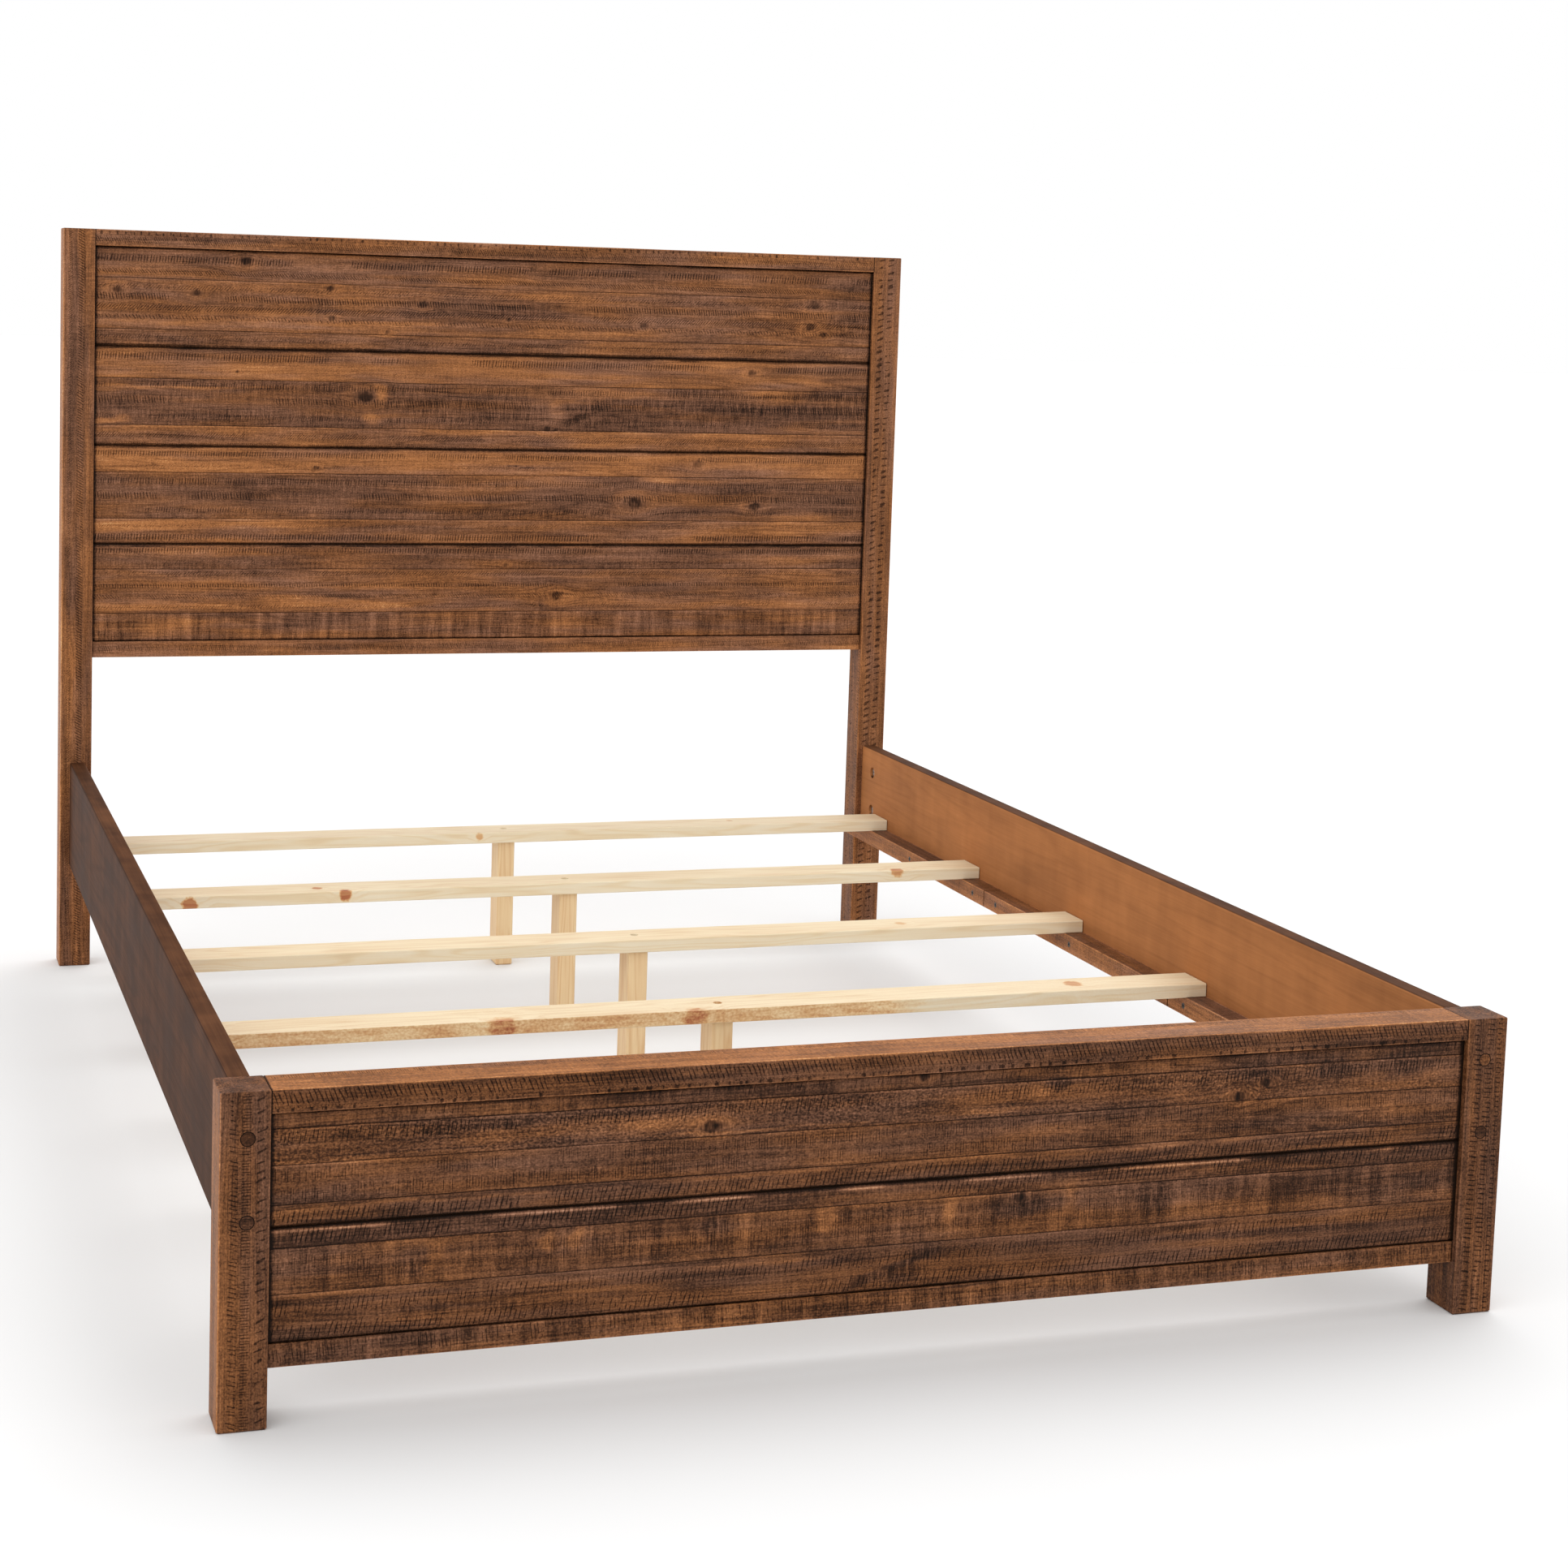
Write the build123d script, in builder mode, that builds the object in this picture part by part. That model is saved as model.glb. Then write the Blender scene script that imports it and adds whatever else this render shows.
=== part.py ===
"""Wooden bed frame for a full-size mattress.

Frame: +X across the bed, to the right as seen from the foot; +Y from footboard to headboard;
+Z up. The origin is on the floor, under the centre of the bed. All sizes are in millimetres.
"""

from build123d import *
import os

os.makedirs("parts", exist_ok=True)

# ---------------------------------------------------------------- driving dimensions

overall_width = 1500
overall_length = 2040
headboard_height = 1254
footboard_height = 356

post_width = 52
post_depth = 57
post_edge_radius = 2.5
post_foot_chamfer = 2

# Panels between the posts
plank_thickness = 22
plank_recess = 8
housing_depth = 12
tongue_width = 7
tongue_height = 6
tongue_tip_gap = 0.5
v_groove = 3

headboard_rail_height = 27
headboard_panel_bottom = 531
headboard_plank_count = 4
footboard_rail_height = 25
footboard_panel_bottom = 62
footboard_plank_count = 2
top_rail_recess = 1.5
rail_back_recess = 1
rail_edge_radius = 1.5

# Side rails
side_rail_thickness = 25
side_rail_height = 176
side_rail_top = 352
side_rail_inset = 16
side_rail_edge_radius = 3

# Ledgers and slats
ledger_width = 31
ledger_height = 27
ledger_top = 218
ledger_count = 3
ledger_gap = 3
ledger_edge_radius = 1.5
slat_width = 64
slat_thickness = 19
slat_end_gap = 1.5
slat_edge_radius = 1.5
slat_positions = [859, 442, 48, -345, -738]

# Centre legs
leg_width = 29
leg_depth = 50
leg_foot_chamfer = 2
leg_edge_radius = 2.5

# Dowels
dowel_radius = 4
dowel_length = 50
dowel_spacing = 24

# Rail bolts with cross-hole nuts
bolt_radius = 4
bolt_clearance_radius = 4.5
bolt_head_radius = 6.5
bolt_head_height = 5
bolt_past_nut = 8
bolt_hole_spare = 4
hex_key_width = 5
hex_key_depth = 3
washer_radius = 7.5
washer_thickness = 1.6
plug_radius = 8
plug_depth = 7
plug_chamfer = 0.4
nut_radius = 9.5
nut_hole_radius = 10
nut_length = 15
nut_hole_depth = 19
nut_from_rail_end = 52
nut_slot_width = 1.6
nut_slot_depth = 2
headboard_bolt_heights = [310, 240]
footboard_bolt_heights = [307, 220]

# Wood screws
ledger_screw_radius = 2.1
ledger_screw_length = 44
ledger_screw_head_radius = 4.2
ledger_screw_end_distance = 45
leg_screw_radius = 2.5
leg_screw_length = 70
leg_screw_head_radius = 5
leg_screw_head_height = 3
leg_screw_counterbore_radius = 6
leg_screw_counterbore_depth = 8
drive_width = 1.2
drive_depth = 1.5

# ---------------------------------------------------------------- derived positions

half_width = overall_width / 2
half_length = overall_length / 2
panel_half = half_width - post_width
post_x = half_width - post_width / 2
headboard_front = half_length - post_depth
footboard_back = post_depth - half_length
side_rail_length = headboard_front - footboard_back
side_rail_inner = half_width - side_rail_inset - side_rail_thickness
side_rail_x = side_rail_inner + side_rail_thickness / 2
side_rail_bottom = side_rail_top - side_rail_height
ledger_inner = side_rail_inner - ledger_width
ledger_length = (side_rail_length - (ledger_count - 1) * ledger_gap) / ledger_count
slat_half = side_rail_inner - slat_end_gap
head_pocket_depth = plug_depth + bolt_head_height + washer_thickness
bolt_length = post_depth - plug_depth - bolt_head_height + nut_from_rail_end + bolt_past_nut
bolt_hole_depth = nut_from_rail_end + bolt_past_nut + bolt_hole_spare
nut_centre_x = side_rail_inner + nut_hole_depth - nut_length / 2

SIDES = {"left": -1, "right": 1}


def save(part, name):
    """Labels a finished piece and writes it to its own STEP file."""
    part.label = name
    export_step(part, f"parts/{name}.step")


# ---------------------------------------------------------------- posts


def make_post(side, is_head, height, panel_bottom, rail_height, bolt_heights):
    """A corner post: panel housing, dowel holes and counterbored bolt holes."""
    outer_y = half_length if is_head else -half_length
    inward = -1 if is_head else 1
    centre_y = outer_y + inward * post_depth / 2
    front_y = centre_y - post_depth / 2
    inner_x = side * panel_half
    bolt_x = side * side_rail_x
    housing_bottom = panel_bottom + rail_height
    housing_top = height - rail_height + tongue_height + tongue_tip_gap
    with BuildPart() as post:
        with BuildSketch(Plane.XY):
            with Locations((side * post_x, centre_y)):
                Rectangle(post_width, post_depth)
        extrude(amount=height)
        fillet(post.edges().filter_by(Axis.Z), post_edge_radius)
        chamfer(post.faces().sort_by(Axis.Z)[0].edges(), post_foot_chamfer)
        fillet(post.faces().sort_by(Axis.Z)[-1].edges(), rail_edge_radius)
        with BuildSketch(Plane.XY.offset(housing_bottom)):
            with Locations(
                (inner_x + side * housing_depth / 2, front_y + plank_recess + plank_thickness / 2)
            ):
                Rectangle(housing_depth, plank_thickness)
        extrude(amount=housing_top - housing_bottom, mode=Mode.SUBTRACT)
        dowel_rows = [
            (centre_y - dowel_spacing / 2, height - rail_height / 2),
            (centre_y + dowel_spacing / 2, height - rail_height / 2),
            (centre_y - dowel_spacing / 2, panel_bottom + rail_height / 2),
            (centre_y + dowel_spacing / 2, panel_bottom + rail_height / 2),
        ]
        with BuildSketch(Plane(origin=(inner_x, 0, 0), x_dir=(0, 1, 0), z_dir=(1, 0, 0))):
            with Locations(*dowel_rows):
                Circle(dowel_radius)
        extrude(amount=side * dowel_length / 2, mode=Mode.SUBTRACT)
        outer_plane = Plane(origin=(0, outer_y, 0), x_dir=(1, 0, 0), z_dir=(0, -1, 0))
        with BuildSketch(outer_plane):
            with Locations(*[(bolt_x, z) for z in bolt_heights]):
                Circle(bolt_clearance_radius)
        extrude(amount=-inward * post_depth, mode=Mode.SUBTRACT)
        with BuildSketch(outer_plane):
            with Locations(*[(bolt_x, z) for z in bolt_heights]):
                Circle(plug_radius)
        extrude(amount=-inward * head_pocket_depth, mode=Mode.SUBTRACT)
    return post.part


# ---------------------------------------------------------------- panels


def plank_profile(bottom, top, front_y):
    """The plank's section in the YZ plane, as the corner points of a closed outline.

    The tongue is on the upper edge and the groove is in the lower edge.
    """
    back_y = front_y + plank_thickness
    middle_y = front_y + plank_thickness / 2
    half_tongue = tongue_width / 2
    tip = top + tongue_height
    root = bottom + tongue_height + tongue_tip_gap
    return [
        (front_y, bottom + v_groove),
        (front_y, top - v_groove),
        (front_y + v_groove, top),
        (middle_y - half_tongue, top),
        (middle_y - half_tongue, tip),
        (middle_y + half_tongue, tip),
        (middle_y + half_tongue, top),
        (back_y - v_groove, top),
        (back_y, top - v_groove),
        (back_y, bottom + v_groove),
        (back_y - v_groove, bottom),
        (middle_y + half_tongue, bottom),
        (middle_y + half_tongue, root),
        (middle_y - half_tongue, root),
        (middle_y - half_tongue, bottom),
        (front_y + v_groove, bottom),
    ]


def make_plank(bottom, top, front_y):
    """A panel plank with V-grooved edges, housed in the posts at both ends."""
    end_x = panel_half + housing_depth
    with BuildPart() as plank:
        with BuildSketch(Plane(origin=(-end_x, 0, 0), x_dir=(0, 1, 0), z_dir=(1, 0, 0))):
            with BuildLine():
                Polyline(*plank_profile(bottom, top, front_y), close=True)
            make_face()
        extrude(amount=2 * end_x)
    return plank.part


def make_panel_rail(bottom, height, post_front_y, is_top):
    """A rail between the posts: the top rail is grooved below, the bottom rail tongued above.

    The top rail stands almost flush with the posts; the bottom rail is flush with the planks.
    """
    front_y = post_front_y + (top_rail_recess if is_top else plank_recess)
    back_y = post_front_y + post_depth - rail_back_recess
    middle_y = post_front_y + plank_recess + plank_thickness / 2
    centre_y = post_front_y + post_depth / 2
    top = bottom + height
    with BuildPart() as rail:
        with BuildSketch(Plane(origin=(-panel_half, 0, 0), x_dir=(0, 1, 0), z_dir=(1, 0, 0))):
            with Locations(((front_y + back_y) / 2, (bottom + top) / 2)):
                Rectangle(back_y - front_y, height)
        extrude(amount=2 * panel_half)
        fillet(rail.edges().filter_by(Axis.X), rail_edge_radius)
        with BuildSketch(Plane(origin=(-panel_half, 0, 0), x_dir=(0, 1, 0), z_dir=(1, 0, 0))):
            if is_top:
                groove = tongue_height + tongue_tip_gap
                with Locations((middle_y, bottom + groove / 2)):
                    Rectangle(tongue_width, groove)
            else:
                with Locations((middle_y, top + tongue_height / 2)):
                    Rectangle(tongue_width, tongue_height)
        extrude(amount=2 * panel_half, mode=Mode.SUBTRACT if is_top else Mode.ADD)
        for side in SIDES.values():
            with BuildSketch(Plane(origin=(side * panel_half, 0, 0), x_dir=(0, 1, 0), z_dir=(1, 0, 0))):
                with Locations((centre_y, bottom + height / 2)):
                    with GridLocations(dowel_spacing, 1, 2, 1):
                        Circle(dowel_radius)
            extrude(amount=-side * dowel_length / 2, mode=Mode.SUBTRACT)
    return rail.part


def make_dowels(post_front_y, rail_middles):
    """The glued dowels that join the rails of one panel to its two posts."""
    centre_y = post_front_y + post_depth / 2
    with BuildPart() as dowels:
        for side in SIDES.values():
            start = side * panel_half - dowel_length / 2
            with BuildSketch(Plane(origin=(start, 0, 0), x_dir=(0, 1, 0), z_dir=(1, 0, 0))):
                for z in rail_middles:
                    with Locations((centre_y, z)):
                        with GridLocations(dowel_spacing, 1, 2, 1):
                            Circle(dowel_radius)
            extrude(amount=dowel_length)
    return dowels.part


# ---------------------------------------------------------------- side rails and ledgers


def ledger_ends(index):
    """The low and high Y of one ledger; index 0 is at the headboard."""
    high = headboard_front - index * (ledger_length + ledger_gap)
    return high - ledger_length, high


def ledger_screw_places(index):
    """Y and Z of the three screws in one ledger."""
    low, high = ledger_ends(index)
    middle = (low + high) / 2
    z = ledger_top - ledger_height / 2
    return [(y, z) for y in (low + ledger_screw_end_distance, middle, high - ledger_screw_end_distance)]


def all_ledger_screw_places():
    """Y and Z of all the screws in one side's ledgers."""
    return [place for index in range(ledger_count) for place in ledger_screw_places(index)]


def make_side_rail(side):
    """A side rail with end bores, cross holes for the nuts and pilot holes for the ledger screws."""
    ends = [(headboard_front, -1, headboard_bolt_heights), (footboard_back, 1, footboard_bolt_heights)]
    inner_x = side * side_rail_inner
    with BuildPart() as rail:
        with BuildSketch(Plane.XY.offset(side_rail_bottom)):
            with Locations((side * side_rail_x, 0)):
                Rectangle(side_rail_thickness, side_rail_length)
        extrude(amount=side_rail_height)
        long_edges = rail.edges().filter_by(Axis.Y).group_by(Axis.Z)
        fillet(long_edges[-1], side_rail_edge_radius)
        fillet(long_edges[0], rail_edge_radius)
        for end_y, inward, heights in ends:
            with BuildSketch(Plane(origin=(0, end_y, 0), x_dir=(1, 0, 0), z_dir=(0, -1, 0))):
                with Locations(*[(side * side_rail_x, z) for z in heights]):
                    Circle(bolt_clearance_radius)
            extrude(amount=-inward * bolt_hole_depth, mode=Mode.SUBTRACT)
            nut_y = end_y + inward * nut_from_rail_end
            with BuildSketch(Plane(origin=(inner_x, 0, 0), x_dir=(0, 1, 0), z_dir=(1, 0, 0))):
                with Locations(*[(nut_y, z) for z in heights]):
                    Circle(nut_hole_radius)
            extrude(amount=side * nut_hole_depth, mode=Mode.SUBTRACT)
        with BuildSketch(Plane(origin=(inner_x, 0, 0), x_dir=(0, 1, 0), z_dir=(1, 0, 0))):
            with Locations(*all_ledger_screw_places()):
                Circle(ledger_screw_radius)
        extrude(amount=side * (ledger_screw_length - ledger_width), mode=Mode.SUBTRACT)
    return rail.part


def make_ledger(side, index):
    """One length of ledger, with countersunk screw holes through it."""
    low, high = ledger_ends(index)
    inner_x = side * ledger_inner
    cone = ledger_screw_head_radius - ledger_screw_radius
    face = Plane(origin=(inner_x, 0, 0), x_dir=(0, 1, 0), z_dir=(1, 0, 0))
    with BuildPart() as ledger:
        with BuildSketch(Plane.XY.offset(ledger_top - ledger_height)):
            with Locations((side * (ledger_inner + ledger_width / 2), (low + high) / 2)):
                Rectangle(ledger_width, high - low)
        extrude(amount=ledger_height)
        long_edges = ledger.edges().filter_by(Axis.Y).sort_by(Axis.X)
        fillet(long_edges[:2] if side > 0 else long_edges[2:], ledger_edge_radius)
        with BuildSketch(face):
            with Locations(*ledger_screw_places(index)):
                Circle(ledger_screw_radius)
        extrude(amount=side * ledger_width, mode=Mode.SUBTRACT)
        with BuildSketch(face):
            with Locations(*ledger_screw_places(index)):
                Circle(ledger_screw_head_radius)
        extrude(amount=side * cone, taper=45, mode=Mode.SUBTRACT)
    return ledger.part


def make_ledger_screws(side):
    """The countersunk screws that hold one side's ledgers to its rail."""
    cone = ledger_screw_head_radius - ledger_screw_radius
    places = all_ledger_screw_places()
    face = Plane(origin=(side * ledger_inner, 0, 0), x_dir=(0, 1, 0), z_dir=(1, 0, 0))
    with BuildPart() as screws:
        with BuildSketch(face):
            with Locations(*places):
                Circle(ledger_screw_radius)
        extrude(amount=side * ledger_screw_length)
        with BuildSketch(face):
            with Locations(*places):
                Circle(ledger_screw_head_radius)
        extrude(amount=side * cone, taper=45)
        with BuildSketch(face):
            with Locations(*places):
                Rectangle(drive_width, ledger_screw_head_radius)
                Rectangle(ledger_screw_head_radius, drive_width)
        extrude(amount=side * drive_depth, mode=Mode.SUBTRACT)
    return screws.part


# ---------------------------------------------------------------- rail bolts


def bolt_planes(is_head):
    """The outer post face of one end, and the direction into the bed."""
    outer_y = half_length if is_head else -half_length
    inward = -1 if is_head else 1
    return outer_y, inward


def bolt_places(heights):
    """X and Z of the bolts of one end of the bed."""
    return [(side * side_rail_x, z) for side in SIDES.values() for z in heights]


def xz_plane(y):
    """A sketch plane across the bed at the given Y, with its normal along +Y."""
    return Plane(origin=(0, y, 0), x_dir=(-1, 0, 0), z_dir=(0, 1, 0))


def mirrored(places):
    """The places in the sketch coordinates of xz_plane, whose X runs the other way."""
    return [(-x, z) for x, z in places]


def make_bolts(is_head, heights):
    """The hex-socket bolts through one end's posts into the side rails."""
    outer_y, inward = bolt_planes(is_head)
    places = mirrored(bolt_places(heights))
    head_y = outer_y + inward * plug_depth
    shank_y = head_y + inward * bolt_head_height
    with BuildPart() as bolts:
        with BuildSketch(xz_plane(head_y)):
            with Locations(*places):
                Circle(bolt_head_radius)
        extrude(amount=inward * bolt_head_height)
        with BuildSketch(xz_plane(shank_y)):
            with Locations(*places):
                Circle(bolt_radius)
        extrude(amount=inward * bolt_length)
        with BuildSketch(xz_plane(head_y)):
            with Locations(*places):
                RegularPolygon(hex_key_width / 2, 6, major_radius=False)
        extrude(amount=inward * hex_key_depth, mode=Mode.SUBTRACT)
    return bolts.part


def make_washers(is_head, heights):
    """The flat washers under the bolt heads of one end."""
    outer_y, inward = bolt_planes(is_head)
    places = mirrored(bolt_places(heights))
    with BuildPart() as washers:
        with BuildSketch(xz_plane(outer_y + inward * (plug_depth + bolt_head_height))):
            with Locations(*places):
                Circle(washer_radius)
            with Locations(*places):
                Circle(bolt_radius, mode=Mode.SUBTRACT)
        extrude(amount=inward * washer_thickness)
    return washers.part


def make_plugs(is_head, heights):
    """The wooden plugs that cover the bolt heads of one end."""
    outer_y, inward = bolt_planes(is_head)
    with BuildPart() as plugs:
        with BuildSketch(xz_plane(outer_y)):
            with Locations(*mirrored(bolt_places(heights))):
                Circle(plug_radius)
        extrude(amount=inward * plug_depth)
        outer_faces = plugs.faces().filter_by(Axis.Y).group_by(Axis.Y)[-1 if is_head else 0]
        chamfer(outer_faces.edges(), plug_chamfer)
    return plugs.part


def make_nuts(side):
    """The cross-hole nuts in one side rail, each with a slot in its inner end."""
    ends = [(headboard_front, -1, headboard_bolt_heights), (footboard_back, 1, footboard_bolt_heights)]
    places = [(y + inward * nut_from_rail_end, z) for y, inward, heights in ends for z in heights]
    inner_end = side * (nut_centre_x - nut_length / 2)
    face = Plane(origin=(inner_end, 0, 0), x_dir=(0, 1, 0), z_dir=(1, 0, 0))
    with BuildPart() as nuts:
        with BuildSketch(face):
            with Locations(*places):
                Circle(nut_radius)
        extrude(amount=side * nut_length)
        with BuildSketch(xz_plane(0)):
            with Locations(*[(-side * side_rail_x, z) for y, z in places]):
                Circle(bolt_radius)
        extrude(amount=half_length, both=True, mode=Mode.SUBTRACT)
        with BuildSketch(face):
            with Locations(*places):
                Rectangle(2 * nut_radius, nut_slot_width)
        extrude(amount=side * nut_slot_depth, mode=Mode.SUBTRACT)
    return nuts.part


# ---------------------------------------------------------------- slats and centre legs


def make_slat(y):
    """A slat with the counterbored hole of its leg screw."""
    with BuildPart() as slat:
        with BuildSketch(Plane.XY.offset(ledger_top)):
            with Locations((0, y)):
                Rectangle(2 * slat_half, slat_width)
        extrude(amount=slat_thickness)
        fillet(slat.edges().filter_by(Axis.X), slat_edge_radius)
        with Locations((0, y, ledger_top + slat_thickness)):
            CounterBoreHole(leg_screw_radius, leg_screw_counterbore_radius, leg_screw_counterbore_depth)
    return slat.part


def make_leg(y):
    """A centre leg that stands on the floor under its slat, with a pilot hole."""
    bite = leg_screw_length - (slat_thickness - leg_screw_counterbore_depth)
    with BuildPart() as leg:
        with BuildSketch(Plane.XY):
            with Locations((0, y)):
                Rectangle(leg_width, leg_depth)
        extrude(amount=ledger_top)
        fillet(leg.edges().filter_by(Axis.Z), leg_edge_radius)
        chamfer(leg.faces().sort_by(Axis.Z)[0].edges(), leg_foot_chamfer)
        with BuildSketch(Plane.XY.offset(ledger_top)):
            with Locations((0, y)):
                Circle(leg_screw_radius)
        extrude(amount=-bite, mode=Mode.SUBTRACT)
    return leg.part


def make_leg_screw(y):
    """The pan-head screw that holds a leg to its slat."""
    seat = ledger_top + slat_thickness - leg_screw_counterbore_depth
    with BuildPart() as screw:
        with BuildSketch(Plane.XY.offset(seat)):
            with Locations((0, y)):
                Circle(leg_screw_radius)
        extrude(amount=-leg_screw_length)
        with BuildSketch(Plane.XY.offset(seat)):
            with Locations((0, y)):
                Circle(leg_screw_head_radius)
        extrude(amount=leg_screw_head_height)
        fillet(screw.faces().sort_by(Axis.Z)[-1].edges(), leg_screw_head_height / 3)
        with BuildSketch(Plane.XY.offset(seat + leg_screw_head_height)):
            with Locations((0, y)):
                Rectangle(drive_width, leg_screw_head_radius)
                Rectangle(leg_screw_head_radius, drive_width)
        extrude(amount=-drive_depth, mode=Mode.SUBTRACT)
    return screw.part


# ---------------------------------------------------------------- the bed

for side_name, side in SIDES.items():
    headboard_post = make_post(
        side, True, headboard_height, headboard_panel_bottom, headboard_rail_height,
        headboard_bolt_heights,
    )
    save(headboard_post, f"headboard_post_{side_name}")
    footboard_post = make_post(
        side, False, footboard_height, footboard_panel_bottom, footboard_rail_height,
        footboard_bolt_heights,
    )
    save(footboard_post, f"footboard_post_{side_name}")
    save(make_side_rail(side), f"side_rail_{side_name}")
    for index, place in enumerate(["head", "middle", "foot"]):
        save(make_ledger(side, index), f"ledger_{side_name}_{place}")
    save(make_ledger_screws(side), f"ledger_screws_{side_name}")
    save(make_nuts(side), f"rail_nuts_{side_name}")

# Headboard panel: planks are numbered from the top.
headboard_planks_bottom = headboard_panel_bottom + headboard_rail_height
headboard_planks_top = headboard_height - headboard_rail_height
headboard_plank_width = (headboard_planks_top - headboard_planks_bottom) / headboard_plank_count
for number in range(1, headboard_plank_count + 1):
    top = headboard_planks_top - (number - 1) * headboard_plank_width
    plank = make_plank(top - headboard_plank_width, top, headboard_front + plank_recess)
    save(plank, f"headboard_plank_{number}")
save(
    make_panel_rail(headboard_planks_top, headboard_rail_height, headboard_front, True),
    "headboard_top_rail",
)
save(
    make_panel_rail(headboard_panel_bottom, headboard_rail_height, headboard_front, False),
    "headboard_bottom_rail",
)
headboard_rail_middles = [
    headboard_planks_top + headboard_rail_height / 2,
    headboard_panel_bottom + headboard_rail_height / 2,
]
save(make_dowels(headboard_front, headboard_rail_middles), "headboard_dowels")

# Footboard panel
footboard_planks_bottom = footboard_panel_bottom + footboard_rail_height
footboard_planks_top = footboard_height - footboard_rail_height
footboard_plank_width = (footboard_planks_top - footboard_planks_bottom) / footboard_plank_count
footboard_split = footboard_planks_top - footboard_plank_width
save(
    make_plank(footboard_split, footboard_planks_top, -half_length + plank_recess),
    "footboard_plank_upper",
)
save(
    make_plank(footboard_planks_bottom, footboard_split, -half_length + plank_recess),
    "footboard_plank_lower",
)
save(
    make_panel_rail(footboard_planks_top, footboard_rail_height, -half_length, True),
    "footboard_top_rail",
)
save(
    make_panel_rail(footboard_panel_bottom, footboard_rail_height, -half_length, False),
    "footboard_bottom_rail",
)
footboard_rail_middles = [
    footboard_planks_top + footboard_rail_height / 2,
    footboard_panel_bottom + footboard_rail_height / 2,
]
save(make_dowels(-half_length, footboard_rail_middles), "footboard_dowels")

for end_name, is_head, heights in [
    ("headboard", True, headboard_bolt_heights),
    ("footboard", False, footboard_bolt_heights),
]:
    save(make_bolts(is_head, heights), f"{end_name}_rail_bolts")
    save(make_washers(is_head, heights), f"{end_name}_bolt_washers")
    save(make_plugs(is_head, heights), f"{end_name}_bolt_plugs")

# Slats are numbered from the headboard.
for number, slat_y in enumerate(slat_positions, start=1):
    save(make_slat(slat_y), f"slat_{number}")
    save(make_leg(slat_y), f"center_leg_{number}")
    save(make_leg_screw(slat_y), f"leg_screw_{number}")
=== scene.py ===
"""Looks of the wooden bed frame: stained rough-sawn wood, bare pine and plain steel.

Lengths are in metres, in the CAD's own frame: +X to the right as seen from the foot, +Y from
footboard to headboard, +Z up. The panel planks are rebuilt as glued staves with real relief;
every other CAD node keeps its shape and gets a material.
"""

import math

import bpy
import numpy as np
from mathutils import Matrix, Vector


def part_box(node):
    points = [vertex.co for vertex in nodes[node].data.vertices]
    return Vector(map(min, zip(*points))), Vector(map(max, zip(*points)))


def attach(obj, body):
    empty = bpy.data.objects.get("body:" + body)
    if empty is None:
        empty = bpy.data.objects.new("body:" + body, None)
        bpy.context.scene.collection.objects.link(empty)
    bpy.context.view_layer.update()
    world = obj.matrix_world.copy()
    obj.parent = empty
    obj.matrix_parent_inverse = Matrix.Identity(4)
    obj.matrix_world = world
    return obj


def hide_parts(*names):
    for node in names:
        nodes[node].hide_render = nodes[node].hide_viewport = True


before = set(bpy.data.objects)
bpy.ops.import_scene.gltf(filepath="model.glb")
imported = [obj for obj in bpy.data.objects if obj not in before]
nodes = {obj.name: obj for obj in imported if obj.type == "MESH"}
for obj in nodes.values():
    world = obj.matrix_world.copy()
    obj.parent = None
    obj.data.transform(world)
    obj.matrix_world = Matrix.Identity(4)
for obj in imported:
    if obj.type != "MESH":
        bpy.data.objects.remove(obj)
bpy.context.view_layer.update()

# ---------------------------------------------------------------- driving dimensions

MM = 0.001

# Panel planks
HOUSING = 12 * MM  # how far a plank's end runs into its post
TONGUE_HEIGHT, TONGUE_HALF, TONGUE_GAP = 6 * MM, 3.5 * MM, 0.5 * MM
PLANK_CHAMFER = 3 * MM
NOTCH_HEIGHT, NOTCH_DEPTH, NOTCH_HALF_GAP = 0.9 * MM, 0.7 * MM, 0.12 * MM
STATION_STEP, ROW_STEP = 4.5 * MM, 2.6 * MM  # mesh spacing along and up a plank

# Painted light on a plank's edges: above 0 is a painted highlight, below 0 is painted shade on the
# chamfers and at the posts, and a dark joint at the glue lines
GROOVE_SHADE_EDGE, GLUE_LINE_EDGE, POST_SHADOW_EDGE, BROW_HIGHLIGHT_EDGE = -2.4, -1.3, -3.0, 0.7

# Beams, plugs and slats
BEAM_WEAR_START, BEAM_WEAR_END = 3.4 * MM, 0.9 * MM
FACE_TONE_SCALE = 0.34
PLUG_RADIUS = 8 * MM
PLUG_RIM_EDGE = -3.2
SAWN_FRONT_END = 0.29  # where the sawn front of slat 4 gives way to a planed one

# Camera: place in metres, turn in degrees, lens in millimetres, shift in frame widths
CAMERA_PLACE = (-1.1223, -3.6824, 1.1562)
CAMERA_YAW, CAMERA_PITCH, CAMERA_ROLL = 17.715, -5.786, 1.728
CAMERA_LENS, CAMERA_SENSOR = 62.18, 36
CAMERA_SHIFT = (0.06, -0.13)

FLOOR_REACH = 60


# ---------------------------------------------------------------- smooth noise for shapes


def value_noise(x, y, seed):
    """Smooth noise from 0 to 1 with features one unit long."""
    grid = np.random.default_rng(seed).random((128, 128))
    column, row = np.floor(x).astype(int), np.floor(y).astype(int)
    fx, fy = x - column, y - row
    fx, fy = fx * fx * (3 - 2 * fx), fy * fy * (3 - 2 * fy)
    corner = [grid[(column + i) % 128, (row + j) % 128] for j in (0, 1) for i in (0, 1)]
    low = corner[0] * (1 - fx) + corner[1] * fx
    high = corner[2] * (1 - fx) + corner[3] * fx
    return low * (1 - fy) + high * fy


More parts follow.
